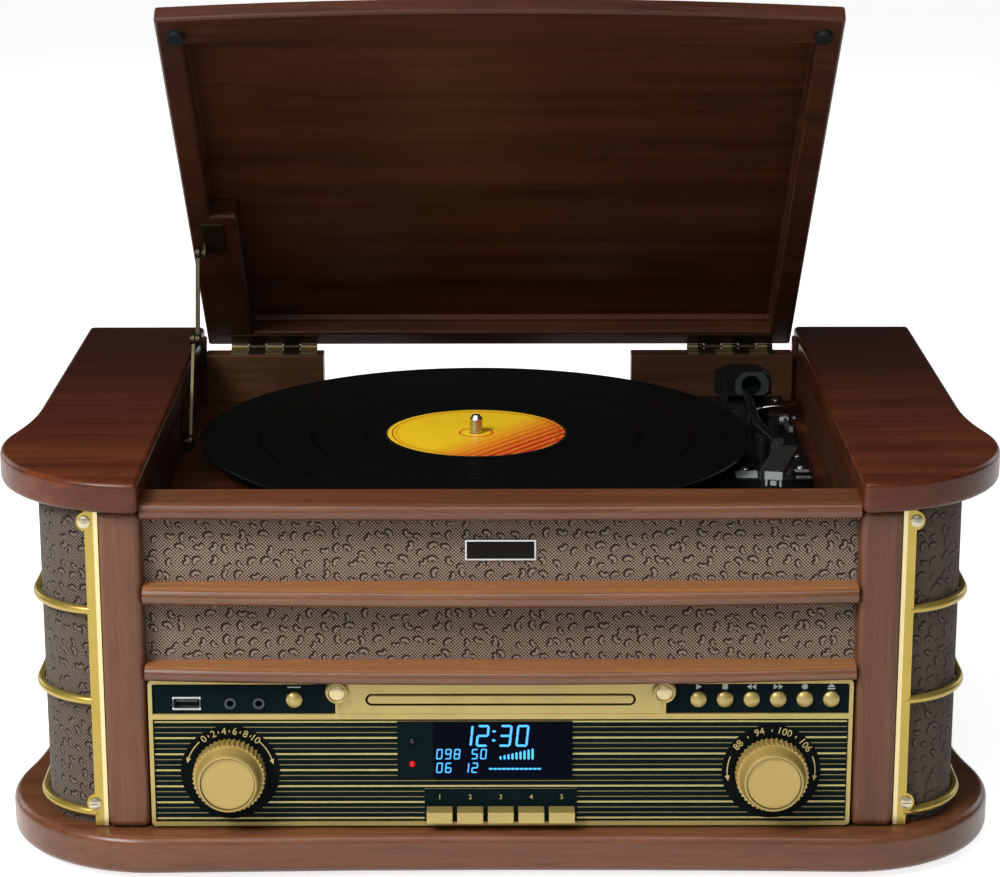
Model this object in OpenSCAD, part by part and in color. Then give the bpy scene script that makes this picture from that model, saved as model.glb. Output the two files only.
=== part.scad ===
// Stereo music centre: a wooden cabinet with a record player under a lifting lid, a disc tray,
// sockets, knobs, keys and a display on its front, and a loudspeaker in each rounded side.
// Millimetres. X runs to the right, Y to the back and Z up. The origin is on the surface that the
// rubber feet stand on, under the middle of the whole object with its lid raised.

/* [Cabinet] */
// Clear width between the two front posts
bay_w = 352; // [340:1:380]
// Depth from the control panel's face to the back of the wing tops
body_d = 330; // [322:1:350]
// Height of the carcass, from the plinth to the wing tops
carcass_h = 166.7; // [160:0.1:185]
// Width of each side bay, from the clear bay to the outer cloth
pod_w = 56; // [53:1:66]
// Radius of the rounded front corner of each side bay
pod_corner_r = 39; // [32:1:42]
// Thickness of the cloth covered side boards
pod_board_t = 6; // [4:0.5:8]
// Thickness of the inner side walls
side_wall_t = 12; // [9:0.5:15]
// Thickness of the back panel
back_t = 9.5; // [6:0.5:12]
// Overhang of the wing tops behind the back panel
back_inset = 1.5; // [0.5:0.5:4]
// Thickness of the deck board
deck_t = 9; // [6:0.5:12]
// Depth of the deck board's top below the rim of the well
well_h = 28.7; // [26:0.1:40]

/* [Plinth and wing tops] */
// Height of the rubber feet
foot_h = 4; // [3:0.5:8]
// Radius of the rubber feet
foot_r = 12; // [8:1:18]
// Height of the wooden plinth
plinth_h = 20; // [15:0.5:28]
// How far the plinth stands out in front of the control panel
plinth_lip = 12; // [8:0.5:16]
// Extra reach of the plinth's front edge towards its corners
plinth_bow = 3; // [0:0.5:5]
// Thickness of the wing tops
wing_t = 16; // [12:0.5:20]
// Radius of the rounded front corner of wing tops and plinth
nose_r = 78; // [74:1:84]
// How far the wing tops stand out in front of the control panel
wing_lip = 10; // [7:0.5:14]
// How much narrower each side is behind its waist
waist_in = 9; // [5:0.5:12]
// Length of the S-shaped stretch that leads to the waist
waist_run = 70; // [50:1:90]

/* [Front posts and rails] */
// Width of each front post
post_w = 21; // [18:0.5:24]
// Depth of each front post
post_d = 18; // [14:0.5:22]
// How far the posts stand out in front of the control panel
post_lip = 2; // [0:0.5:4]
// Radius of the posts' outer front edge
post_edge_r = 4; // [2:0.5:6]
// Height of the lower rail
lower_rail_h = 7.7; // [6:0.1:10]
// Height of the middle rail
middle_rail_h = 9.2; // [6:0.1:12]
// Height of the top rail
top_rail_h = 9.4; // [8:0.1:12]
// Height of the lower strip of cloth
lower_cloth_h = 31.8; // [25:0.1:38]
// Height of the rim above the top rail's upper face, up to the top of the wing tops
wing_rise = 11.5; // [8:0.1:14]
// How far the rails stand out in front of the control panel at their ends
rail_lip = 5; // [4:0.5:7]
// Forward bow of the top, middle and lower rails at mid width
rail_bows = [3, 5.5, 7];
// Depth of the top rail's flat upper face behind the control panel
top_rail_back = 20; // [16:0.5:24]
// Distance of the front cloth behind the control panel's face
cloth_inset = 8; // [6:0.5:10]
// Thickness of the cloth covered front board
front_board_t = 6; // [4:0.5:8]

/* [Brass trim] */
// Width of the upright brass bars
bar_w = 6.5; // [5:0.5:9]
// Thickness of the upright brass bars
bar_t = 3; // [2:0.1:3.6]
// Radius of the brass rings round the sides
ring_r = 2.2; // [1.5:0.1:3]
// Height of the lowest ring above the plinth
ring_low = 7; // [5:0.5:12]
// Height of the middle ring above the plinth
ring_mid = 66.5; // [50:0.5:80]
// Height of the top ring above the plinth
ring_high = 114; // [100:0.5:130]
// Width of the bare name plate
badge_w = 35; // [25:0.5:45]
// Height of the bare name plate
badge_h = 10.5; // [8:0.5:14]

/* [Control panel] */
// Height of the control panel
panel_h = 77.5; // [74:0.1:84]
// Gap between the plinth and the control panel
panel_gap = 1.2; // [0.4:0.1:3]
// Thickness of the moulded panel
panel_t = 3; // [2:0.1:4]
// Width of the gilt frame round the panel
frame_w = 2; // [1.5:0.1:2.8]
// How far the gilt frame stands out
frame_t = 1.5; // [1:0.1:2.5]
// Height of the gilt bar between the upper and the lower field
divider_h = 2.7; // [2:0.1:3.5]
// Height of the lower field with its gilt lines
lower_field_h = 54.9; // [52:0.1:56]
// Number of gilt lines across the lower field
line_count = 19; // [10:1:24]
// Height of the middle of the buttons and the disc tray above the panel's lower edge
upper_row_z = 67.1; // [65.5:0.1:68.5]

/* [Knobs and buttons] */
// Distance between the two knobs
knob_pitch = 270.6; // [262:0.1:278]
// Height of the knobs above the panel's lower edge
knob_z = 28.6; // [27:0.1:30]
// Radius of the knobs' knurled skirt
knob_r = 18.2; // [15:0.1:20]
// Radius of the knobs' face
knob_face_r = 15.1; // [12:0.1:17]
// Reach of the knobs in front of the panel
knob_reach = 17.5; // [14:0.5:20]
// Radius of the dark dial disc behind each knob
dial_r = 24.8; // [22:0.1:26]
// Radius of the knobs' shafts
shaft_r = 3; // [2.5:0.1:3.5]
// Radius of the round buttons
button_r = 4; // [3.2:0.1:4.6]
// Distance between neighbouring round buttons
button_pitch = 13.2; // [11.5:0.1:14]
// Distance of the first round button from the middle of the panel
button_x = 98.3; // [97:0.1:100]
// Distance of the function button from the middle of the panel
function_x = 102.6; // [98:0.1:106]
// How far a pressed button or key goes in
press = 1.5; // [1:0.1:2]
// Width of the five keys
key_w = 13; // [11:0.1:14]
// Height of the five keys
key_h = 6; // [5:0.1:7]
// Reach of the five keys in front of the panel
key_reach = 9; // [6:0.5:11]
// Distance between neighbouring keys
key_pitch = 15.3; // [14.8:0.1:16]
// Height of the keys' lower edge above the panel's lower edge
key_z = 4; // [3.4:0.1:5]

/* [Display, sockets and disc tray] */
// Width of the display window
display_w = 70; // [60:0.5:76]
// Height of the display window
display_h = 29.4; // [26:0.1:29.6]
// Height of the display's lower edge above the panel's lower edge
display_z = 25.6; // [25:0.1:26]
// Width of the dark field left of the window, with the sensor and the lamp
sensor_w = 17.5; // [14:0.5:20]
// Radius of the sensor and of the lamp
lamp_r = 1.75; // [1.5:0.05:2]
// Radius of the jack sockets' bore
jack_r = 1.75; // [1.7:0.05:1.8]
// Outer radius of the jack sockets
jack_ring_r = 2.9; // [2.6:0.1:3.4]
// Depth of the jack sockets
jack_depth = 14; // [12:0.5:16]
// Width of the opening of the USB socket
usb_w = 12.5; // [12:0.1:13]
// Height of the opening of the USB socket
usb_h = 5.2; // [5:0.1:5.6]
// Width of the disc tray
tray_w = 132.4; // [130:0.1:136]
// Height of the disc tray
tray_h = 4.4; // [4:0.1:4.8]
// Travel of the disc tray
tray_travel = 122; // [120:1:132]
// Length of the disc tray that stays inside when it is out
tray_hold = 28; // [24:1:32]
// Half width of the gilt door plate round the tray
door_half = 82.2; // [80:0.1:84]

/* [Record player] */
// Distance of the spindle to the left of the middle
spindle_x = 13; // [8:0.5:13]
// Distance of the spindle behind the control panel's face
spindle_y = 179.2; // [177:0.1:181]
// Radius of the record
record_r = 150.5; // [147:0.1:151]
// Thickness of the record
record_t = 1.6; // [1.2:0.1:2]
// Radius of the record's label
label_r = 50; // [40:1:52]
// Radius of the spindle
spindle_r = 3.55; // [3.4:0.01:3.6]
// Radius of the platter's axle in its bearing
axle_r = 4; // [3.8:0.1:5]
// Height of the spindle above the record
spindle_rise = 10.5; // [8:0.1:11]
// Radius of the platter
platter_r = 98; // [90:1:105]
// Radius of the platter's inner drive rim
drive_rim_r = 50; // [40:1:56]
// Height of the black moulded chassis above the deck
chassis_h = 5; // [4:0.1:6]
// Radius of the round part of the chassis
chassis_r = 112; // [108:1:116]
// Distance from the spindle to the motor's shaft
motor_off = 76; // [72:1:80]
// Radius of the motor pulley
pulley_r = 6; // [5:0.5:8]

/* [Tonearm] */
// Distance of the tonearm's pivot to the right of the middle
arm_x = 140; // [138:0.5:142]
// Distance of the tonearm's pivot behind the control panel's face
arm_y = 245; // [242:1:248]
// Height of the tonearm's tube above the deck
arm_h = 23.5; // [22.5:0.1:25]
// Distance from the pivot to the stylus
arm_len = 183; // [178:1:186]
// Radius of the tonearm's tube
arm_tube_r = 2.3; // [2:0.1:2.8]
// Outward angle of the parked tube
arm_park = 3.6; // [2:0.1:5]
// Inward angle of the headshell
head_angle = 18; // [12:1:22]
// How far the headshell sits outside the tube's line
head_shift = 5; // [2:0.5:6]

/* [Lid] */
// Width of the lid
lid_w = 346; // [334:0.5:348]
// Length of the lid from its back edge to its front corners
lid_len = 315; // [306:0.5:318]
// Forward bow of the lid's front edge
lid_bow = 7; // [4:0.5:9]
// Thickness of the lid's frame
lid_frame_t = 9.2; // [7:0.1:12]
// Depth of the recess in the lid
lid_recess = 12.7; // [10:0.1:14]
// Thickness of the lid's raised panel
lid_panel_t = 5; // [3:0.5:8]
// Width of the lid frame's sides
lid_side_w = 13; // [10:0.5:18]
// Width of the lid frame's back rail
lid_back_w = 14; // [10:0.5:20]
// Width of the lid frame's front rail at the corners
lid_front_w = 20; // [16:0.5:28]
// Opening angle of the lid as it stands in the photo
lid_open = 44.2; // [35:0.1:50]
// Distance of the hinge pins behind the control panel's face
hinge_y = 317; // [316:0.5:318]
// Height of the hinge pins above the hinge blocks
hinge_rise = 1.8; // [1.6:0.05:2.2]
// Length of each lid hinge
hinge_len = 51; // [40:1:60]
// Depth of the two hinge blocks
hinge_block_d = 14; // [12:0.5:16]

/* [Lid stay] */
// Length of the stay's lower arm between its pivots
stay_arm_len = 59; // [58.6:0.1:64]
// Length of the stay's rod between its pivots
stay_rod_len = 48.5; // [48:0.1:52]
// Distance of the lower pivot behind the control panel's face
stay_foot_y = 195; // [193:0.5:197]
// Height of the lower pivot above the deck
stay_foot_h = 5.5; // [5:0.1:6.5]
// Distance of the lid's stay pin from the hinge pins
stay_pin_out = 108; // [106:0.5:109]
// Drop of the lid's stay pin below the closed lid
stay_pin_drop = 5; // [4.5:0.1:6]

/* [Hidden] */
KEY_NAMES = ["menu_key", "info_key", "scan_key", "preset_key", "enter_key"];
BUTTON_NAMES = ["play_button", "stop_button", "back_button", "forward_button", "record_button",
                "tray_button"];

// Gaps: a sliding fit, a running fit and a loose fit between pieces that move past each other
gap = 0.3;
run = 0.05;
loose = 0.5;
$fn = 64;

// Heights
plinth_top = foot_h + plinth_h;
wing_z0 = plinth_top + carcass_h;
wing_z1 = wing_z0 + wing_t;
rim_z = wing_z1 - wing_rise;
deck_z = rim_z - well_h;
panel_z = plinth_top + panel_gap;
panel_top = panel_z + panel_h;
lower_rail_z = panel_top;
middle_rail_z = lower_rail_z + lower_rail_h + lower_cloth_h;
top_rail_z = rim_z - top_rail_h;
upper_row = panel_z + upper_row_z;
divider_z = panel_z + frame_w + lower_field_h;
chassis_z = deck_z + chassis_h;

// Depths: the whole object reaches from the knobs' faces to the sockets on the back
rear_reach = 2.5;
total_d = knob_reach + body_d + rear_reach;
panel_y = knob_reach - total_d / 2;
wing_back = panel_y + body_d;
shell_back = wing_back - back_inset;
back_face = shell_back - back_t;
cloth_y = panel_y + cloth_inset;
front_board_y = cloth_y + front_board_t;
panel_back = panel_y + panel_t;
tray_d = tray_travel + tray_hold;

// Widths
bay_x = bay_w / 2;
pod_x = bay_x + pod_w;
post_x = bay_x + post_w;
nose_x = bay_x + nose_r;
waist_x = nose_x - waist_in;
panel_w = bay_w - 1.6;
pod_corner_x = pod_x - pod_corner_r;
pod_front = panel_y + 4;
pod_corner_y = pod_front + pod_corner_r;

// Record player
platter_c = [-spindle_x, panel_y + spindle_y];
platter_z = chassis_z + 0.8;
platter_top = chassis_z + 8.1;
record_top = platter_top + record_t;
mat_t = 1.3;
web_t = 1.5;
neck_r = spindle_r - 0.5;
pin_start = record_top + 0.4;
pin_end = record_top + spindle_rise - 0.7 * spindle_r;
belt_h = 3;
belt_t = 0.8;
belt_z = platter_z + 0.9;
motor_angle = 112;
motor_c = platter_c + motor_off * [cos(motor_angle), sin(motor_angle)];
motor_r = 16;
bearing_z = deck_z - 14;
arm_c = [arm_x, panel_y + arm_y];
arm_z = deck_z + arm_h;
yoke_z = chassis_z + 8.5;
arm_sleeve_r = 6;
arm_shaft_r = 4;
tube_len = arm_len - 61;
elbow_back = 42;
elbow_in = 5;
head_l = 62;
head_w = 12;
head_t = 3;
chassis_right = 166.5;
chassis_front = panel_y + 118;
chassis_back = panel_y + hinge_y - hinge_block_d - 5;

// Lid, in its closed position
hinge_z = rim_z + hinge_rise;
lid_z = hinge_z + hinge_rise;
hinge_p = [panel_y + hinge_y, hinge_z];
lid_back = hinge_p[0] + 1;
lid_front = lid_back - lid_len;
lid_x = lid_w / 2;
recess_x = lid_x - lid_side_w;
recess_front = lid_front + lid_front_w;
recess_back = lid_back - lid_back_w;

// Lid stay: the knuckle follows from the two pivots and the two lengths
stay_foot = [panel_y + stay_foot_y, deck_z + stay_foot_h];
stay_pin = [hinge_p[0] - stay_pin_out, lid_z - stay_pin_drop];
stay_pin_open = hinge_p + turned(stay_pin - hinge_p, -lid_open);
knuckle_open = knuckle(stay_foot, stay_pin_open);
stay_x = -bay_x + 3.6;

// A point turned about the origin
function turned(p, a) = [p[0] * cos(a) - p[1] * sin(a), p[0] * sin(a) + p[1] * cos(a)];
// Points along an arc
function arc(c, r, a0, a1, n) = [for (i = [0:n]) c + r * [cos(a0 + (a1 - a0) * i / n),
                                                            sin(a0 + (a1 - a0) * i / n)]];
// The stay's knuckle, on the side towards the back of the cabinet
function knuckle(p, q) = let (d = norm(q - p),
                              a = (stay_arm_len ^ 2 - stay_rod_len ^ 2 + d ^ 2) / (2 * d),
                              h = sqrt(max(0, stay_arm_len ^ 2 - a ^ 2)),
                              u = (q - p) / d)
    p + a * u + h * [u[1], -u[0]];

// ---------------------------------------------------------------- helpers

// Both sides of the cabinet
module both() {
    children();
    mirror([1, 0, 0]) children();
}

// A block between two corners
module block(a, b) {
    translate(a) cube(b - a);
}

// A cylinder that runs along X or Y from a point
module rod_x(p, r, len) {
    translate(p) rotate([0, 90, 0]) cylinder(r = r, h = len);
}

module rod_y(p, r, len) {
    translate(p) rotate([-90, 0, 0]) cylinder(r = r, h = len);
}

// Everything that belongs to the lid is drawn closed and raised about the hinge pins
module raised() {
    translate([0, hinge_p[0], hinge_p[1]]) rotate([-lid_open, 0, 0])
        translate([0, -hinge_p[0], -hinge_p[1]]) children();
}

// ---------------------------------------------------------------- cabinet

// Outline of one side of the wing tops or the plinth: nose, S-shaped waist and straight back
function side_outline(front) = let (
        c = [bay_x, front + nose_r],
        turn = 2 * atan(waist_in / waist_run),
        r2 = waist_run / sin(turn) - nose_r,
        waist_c = [waist_x + r2, c[1] + waist_run])
    concat(arc(c, nose_r, -90, turn, 22), arc(waist_c, r2, 180 + turn, 180, 6),
           [[waist_x, wing_back]]);

module plinth() {
    lip = panel_y - plinth_lip;
    half = side_outline(lip - plinth_bow);
    front = [for (i = [1:9]) let (x = -bay_x + bay_w * i / 10)
                [x, lip - plinth_bow * (x / bay_x) ^ 2]];
    other = [for (i = [len(half) - 1:-1:0]) [-half[i][0], half[i][1]]];
    color("saddlebrown") translate([0, 0, foot_h]) linear_extrude(plinth_h)
        polygon(concat(front, half, other));
}

module rubber_feet() {
    foot_in = 35;
    color("black") for (x = [-1, 1], y = [panel_y + foot_in, wing_back - foot_in])
        translate([x * (bay_x + foot_in), y, 0]) cylinder(r = foot_r, h = foot_h);
}

module wing_tops() {
    half = side_outline(panel_y - wing_lip);
    color("saddlebrown") both() translate([0, 0, wing_z0]) linear_extrude(wing_t)
        polygon(concat(half, [[bay_x, wing_back]]));
}

module side_walls() {
    front = panel_y - post_lip + post_d;
    color("brown") both()
        block([bay_x, front, plinth_top], [bay_x + side_wall_t, back_face, wing_z0]);
}

module front_posts() {
    front = panel_y - post_lip;
    color("peru") both() translate([0, 0, plinth_top]) linear_extrude(carcass_h) union() {
        translate([bay_x, front]) square([post_w - post_edge_r, post_d]);
        translate([bay_x, front + post_edge_r]) square([post_w, post_d - post_edge_r]);
        translate([post_x - post_edge_r, front + post_edge_r]) circle(post_edge_r);
    }
}

speaker_r = 40;
speaker_y = panel_y + 185;
speaker_z = plinth_top + carcass_h / 2;

module side_grilles() {
    skin = 1.5;
    color("rosybrown") both() difference() {
        translate([0, 0, plinth_top]) linear_extrude(carcass_h) difference() {
            intersection() {
                pod_shape(0);
                translate([post_x, pod_front]) square([pod_w, body_d]);
            }
            pod_shape(-pod_board_t);
        }
        rod_x([pod_x - pod_board_t - 1, speaker_y, speaker_z], speaker_r - 4,
              pod_board_t + 1 - skin);
    }
}

// Filled plan of a side bay, grown by d
module pod_shape(d) {
    r = pod_corner_r + d;
    translate([0, pod_front - d]) square([pod_corner_x, shell_back - pod_front + d]);
    translate([0, pod_corner_y]) square([pod_x + d, shell_back - pod_corner_y]);
    translate([pod_corner_x, pod_corner_y]) circle(r);
}

// One ring round the side bay on side s: along the side, round the corner and up to the bar
module trim_ring(s, z) {
    out = ring_r + 0.1;
    r = pod_corner_r + out;
    end_x = post_x + gap + bar_w - 1.5;
    a0 = asin(max(0, end_x - pod_corner_x) / r);
    straight = pod_corner_x - end_x;
    rod_y([s * (pod_x + out), pod_corner_y, z], ring_r, shell_back - pod_corner_y - 2);
    translate([s * pod_corner_x, pod_corner_y, z]) rotate([0, 0, s > 0 ? a0 - 90 : 180])
        rotate_extrude(angle = 90 - a0) translate([r, 0]) circle(ring_r);
    if (straight > 0)
        rod_x([s > 0 ? end_x : -pod_corner_x, pod_front - out, z], ring_r, straight);
}

tab_r = 5;
tab_z = [plinth_top + 12.5, wing_z0 - 6.5];

module brass_trims() {
    bar_x = post_x + 0.3;
    color("goldenrod") {
        both() {
            block([bar_x, pod_front - bar_t, plinth_top + 0.5],
                  [bar_x + bar_w, pod_front, wing_z0 - 0.5]);
            for (z = tab_z) rod_y([bar_x + bar_w - 1, pod_front - bar_t, z], tab_r, bar_t);
        }
        for (s = [-1, 1], z = [ring_low, ring_mid, ring_high]) trim_ring(s, plinth_top + z);
    }
}

// Domed screw with a straight slot, its head facing the front
module screw_front(p, r) {
    translate(p) rotate([90, 0, 0]) difference() {
        intersection() {
            translate([0, 0, -1.6 * r]) sphere(r = 2.2 * r);
            cylinder(r = r, h = r);
        }
        translate([-r, -0.3, 0.35 * r]) cube([2 * r, 0.6, r]);
    }
}

module brass_screws() {
    color("gold") both() for (z = tab_z)
        screw_front([post_x + 0.3 + bar_w, pod_front - bar_t, z], 3);
}

module front_grille() {
    color("rosybrown") block([-bay_x, cloth_y, panel_top], [bay_x, front_board_y, top_rail_z]);
}

// Rail with a rounded front, bowed forward at mid width
module bowed_rail(z, h, bow, back) {
    half = bay_x;
    bow_r = (half ^ 2 + bow ^ 2) / (2 * bow);
    front = panel_y - rail_lip;
    reach = asin(half / bow_r) + 0.2;
    deep = bow + rail_lip + back + 2;
    intersection() {
        translate([0, front - bow + bow_r, z]) rotate([0, 0, -90 - reach])
            rotate_extrude(angle = 2 * reach, $fn = 1440) {
                translate([bow_r - deep, 0]) square([deep - h / 2, h]);
                translate([bow_r - h / 2, h / 2]) circle(r = h / 2, $fn = 48);
            }
        block([-half, front - bow - 2, z - 1], [half, panel_y + back, z + h + 1]);
    }
}

module top_rail() {
    color("chocolate") bowed_rail(top_rail_z, top_rail_h, rail_bows[0], top_rail_back);
}

module grille_rails() {
    color("chocolate") {
        bowed_rail(middle_rail_z, middle_rail_h, rail_bows[1], cloth_inset);
        bowed_rail(lower_rail_z, lower_rail_h, rail_bows[2], cloth_inset);
    }
}

module badge_plate() {
    t = 1.2;
    edge = 0.8;
    z = (top_rail_z + middle_rail_z + middle_rail_h) / 2 - 1;
    color("silver") difference() {
        block([-badge_w / 2, cloth_y - t, z - badge_h / 2], [badge_w / 2, cloth_y, z + badge_h / 2]);
        block([-badge_w / 2 + edge, cloth_y - t - 1, z - badge_h / 2 + edge],
              [badge_w / 2 - edge, cloth_y - t + 0.4, z + badge_h / 2 - edge]);
    }
}

module deck_board() {
    hole_r = platter_r + 6;
    color("sienna") difference() {
        block([-bay_x, front_board_y, deck_z - deck_t], [bay_x, back_face, deck_z]);
        translate([platter_c[0], platter_c[1], deck_z - deck_t - 1])
            cylinder(r = hole_r, h = deck_t + 2);
        translate([arm_c[0], arm_c[1], deck_z - deck_t - 1]) cylinder(r = arm_sleeve_r, h = deck_t + 2);
    }
}

block_l = [-bay_x + 2.5, -104];
block_r = [78, bay_x - 2.5];

module hinge_blocks() {
    color("sienna") for (b = [block_l, block_r])
        block([b[0], hinge_p[0] - hinge_block_d, deck_z], [b[1], hinge_p[0], rim_z]);
}

inlet_p = [118, shell_back, plinth_top + 32];
inlet_w = 20;
inlet_h = 13;
line_out_p = [-70, shell_back, plinth_top + 34];
line_out_pitch = 14;

module back_panel() {
    slot_l = 60;
    color("sienna") difference() {
        union() {
            block([-pod_x + pod_board_t, back_face, plinth_top],
                  [pod_x - pod_board_t, shell_back, deck_z]);
            both() block([bay_x, back_face, plinth_top],
                         [pod_x - pod_board_t, shell_back, wing_z0]);
        }
        block([inlet_p[0] - inlet_w / 2, back_face - 1, inlet_p[2] - inlet_h / 2],
              [inlet_p[0] + inlet_w / 2, shell_back + 1, inlet_p[2] + inlet_h / 2]);
        for (i = [0, 1])
            rod_y([line_out_p[0] + i * line_out_pitch, back_face - 1, line_out_p[2]], 4.2,
                  back_t + 2);
        for (i = [0:5])
            block([-slot_l / 2, back_face - 1, plinth_top + 70 + i * 9],
                  [slot_l / 2, shell_back + 1, plinth_top + 74 + i * 9]);
    }
}

// Two-pole mains inlet and two line outputs on the back
module rear_sockets() {
    wall = 1.5;
    reach = rear_reach + back_inset;
    x = inlet_p[0];
    z = inlet_p[2];
    color("dimgray") {
        difference() {
            union() {
                block([x - inlet_w / 2, back_face - 8, z - inlet_h / 2],
                      [x + inlet_w / 2, shell_back, z + inlet_h / 2]);
                block([x - inlet_w / 2 - 4, shell_back, z - inlet_h / 2 - 3],
                      [x + inlet_w / 2 + 4, shell_back + 1.5, z + inlet_h / 2 + 3]);
            }
            block([x - inlet_w / 2 + wall, back_face - 8 + wall, z - inlet_h / 2 + wall],
                  [x + inlet_w / 2 - wall, shell_back + 3, z + inlet_h / 2 - wall]);
        }
        for (s = [-1, 1]) rod_y([x + s * 4.3, back_face - 7, z], 1.2, 12);
        for (i = [0, 1]) difference() {
            union() {
                rod_y([line_out_p[0] + i * line_out_pitch, back_face - 6, line_out_p[2]], 4.1,
                      back_t + 6 + reach);
                rod_y([line_out_p[0] + i * line_out_pitch, shell_back, line_out_p[2]], 5.5, 1);
            }
            rod_y([line_out_p[0] + i * line_out_pitch, shell_back - 6, line_out_p[2]], 1.6,
                  7 + reach);
        }
    }
}

// ---------------------------------------------------------------- control panel

button_xs = concat([-function_x], [for (i = [0:5]) button_x + i * button_pitch]);
key_xs = [for (i = [-2:2]) i * key_pitch];
boss_x = 81.2;
boss_r = 5.8;
boss_z = panel_top - boss_r - 0.2;
sensor_x = -display_w / 2 + 0.9 - sensor_w * 0.57;
sensor_z = panel_z + 45.2;
lamp_z = panel_z + 32.9;
display_x = 0.9;
usb_x = -156.2;
jack_xs = [-134.5, -120.3];
socket_z = panel_z + 65;
slot_gap = 1;
pad_t = 0.8;
board_gap = 9;
board_y = panel_back + board_gap;
collar_t = 1;
switch_t = 3;
stem_len = board_gap - gap - collar_t - switch_t - press - gap;

module rounded_field(w, h, r) {
    for (x = [-w / 2 + r, w / 2 - r], z = [r, h - r]) translate([x, z]) circle(r);
    translate([-w / 2 + r, 0]) square([w - 2 * r, h]);
    translate([-w / 2, r]) square([w, h - 2 * r]);
}

// A flat shape drawn in X and Z, with its face at y and its thickness towards the back
module upright(y, t) {
    translate([0, y + t, 0]) rotate([90, 0, 0]) linear_extrude(t) children();
}

module panel_frame() {
    color("gold") upright(panel_y - frame_t, frame_t) translate([0, panel_z]) {
        difference() {
            rounded_field(panel_w, panel_h, 2.5);
            translate([0, frame_w])
                rounded_field(panel_w - 2 * frame_w, panel_h - 2 * frame_w, 1.2);
        }
        translate([-panel_w / 2 + frame_w / 2, divider_z - panel_z])
            square([panel_w - frame_w, divider_h]);
    }
}

// Everything that passes through the moulded panel
module panel_holes() {
    y = panel_y - 5;
    t = panel_t + 10;
    for (x = [-1, 1]) rod_y([x * knob_pitch / 2, y, panel_z + knob_z], shaft_r + 1, t);
    for (x = button_xs) rod_y([x, y, upper_row], button_r + gap, t);
    for (x = key_xs)
        block([x - key_w / 2 - gap, y, panel_z + key_z - gap],
              [x + key_w / 2 + gap, y + t, panel_z + key_z + key_h + gap]);
    for (x = jack_xs) rod_y([x, y, socket_z], jack_ring_r, t);
    block([usb_x - usb_w / 2 - 0.8, y, socket_z - usb_h / 2 - 0.8],
          [usb_x + usb_w / 2 + 0.8, y + t, socket_z + usb_h / 2 + 0.8]);
    block([-tray_w / 2 - slot_gap, y, upper_row - tray_h / 2 - slot_gap],
          [tray_w / 2 + slot_gap, y + t, upper_row + tray_h / 2 + slot_gap]);
    rod_y([sensor_x, y, sensor_z], lamp_r, t);
    rod_y([sensor_x, y, lamp_z], lamp_r, t);
}

module panel_face() {
    line_pitch = (lower_field_h - 3.4) / (line_count - 1);
    keys_w = 5 * key_pitch;
    color("darkslategray") difference() {
        union() {
            upright(panel_y, panel_t) translate([0, panel_z]) rounded_field(panel_w, panel_h, 2.5);
            upright(panel_y - pad_t, pad_t) {
                translate([display_x - display_w / 2 - sensor_w, panel_z + display_z - 0.6])
                    square([display_w + sensor_w, display_h + 1]);
                translate([-keys_w / 2, panel_z + frame_w]) square([keys_w, 17.5]);
            }
            for (i = [0:line_count - 1]) let (h = i % 3 == 0 ? 0.9 : 0.45)
                panel_line(panel_z + frame_w + 1.7 + i * line_pitch, h);
        }
        panel_holes();
        block([display_x - display_w / 2 + 2, panel_y - 2, panel_z + display_z + 2],
              [display_x + display_w / 2 - 2, panel_y + 5, panel_z + display_z + display_h - 2]);
    }
}

// One raised line across the lower field, clear of the dials, the display and the keys
module panel_line(z, h) {
    line_t = 0.3;
    keys_w = 5 * key_pitch;
    difference() {
        block([-panel_w / 2 + frame_w + 0.5, panel_y - line_t, z - h / 2],
              [panel_w / 2 - frame_w - 0.5, panel_y + 0.1, z + h / 2]);
        for (x = [-1, 1]) rod_y([x * knob_pitch / 2, panel_y - 1, panel_z + knob_z], dial_r, 1);
    }
}

module display_window() {
    t = 1;
    color("navy") block([display_x - display_w / 2 + 0.5, panel_y - pad_t - t, panel_z + display_z],
                        [display_x + display_w / 2 - 0.5, panel_y - pad_t,
                         panel_z + display_z + display_h - 0.4]);
}

module panel_lamps() {
    color("red") for (z = [sensor_z, lamp_z]) {
        rod_y([sensor_x, panel_y - pad_t, z], lamp_r - run, board_y - panel_y + pad_t);
        translate([sensor_x, panel_y - pad_t, z]) intersection() {
            sphere(lamp_r - run);
            block([-3, -3, -3], [3, 0.01, 3]);
        }
    }
}

// One USB socket and two jack sockets that reach through the panel to the front board
module front_sockets() {
    color("silver") {
        difference() {
            block([usb_x - usb_w / 2 - 0.8, panel_y - 0.3, socket_z - usb_h / 2 - 0.8],
                  [usb_x + usb_w / 2 + 0.8, board_y, socket_z + usb_h / 2 + 0.8]);
            block([usb_x - usb_w / 2, panel_y - 1, socket_z - usb_h / 2],
                  [usb_x + usb_w / 2, board_y - 0.8, socket_z + usb_h / 2]);
        }
        block([usb_x - usb_w / 2 + 1, panel_y + 1.5, socket_z + 0.2],
              [usb_x + usb_w / 2 - 1, board_y - 0.8, socket_z + usb_h / 2]);
        for (x = jack_xs) difference() {
            union() {
                rod_y([x, panel_y - 1, socket_z], jack_ring_r, board_y - panel_y + 1);
                block([x - 4, panel_back, socket_z - 4], [x + 4, board_y, socket_z + 4]);
                rod_y([x, board_y - 1, socket_z], jack_ring_r, jack_depth - 10);
            }
            rod_y([x, panel_y - 2, socket_z], jack_r, jack_depth + 1);
        }
    }
}

// Section of the disc tray with round ends, grown by d
module tray_section(d) {
    translate([-tray_w / 2 + tray_h / 2, -tray_h / 2 - d])
        square([tray_w - tray_h, tray_h + 2 * d]);
    for (s = [-1, 1]) translate([s * (tray_w - tray_h) / 2, 0]) circle(tray_h / 2 + d);
}

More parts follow.
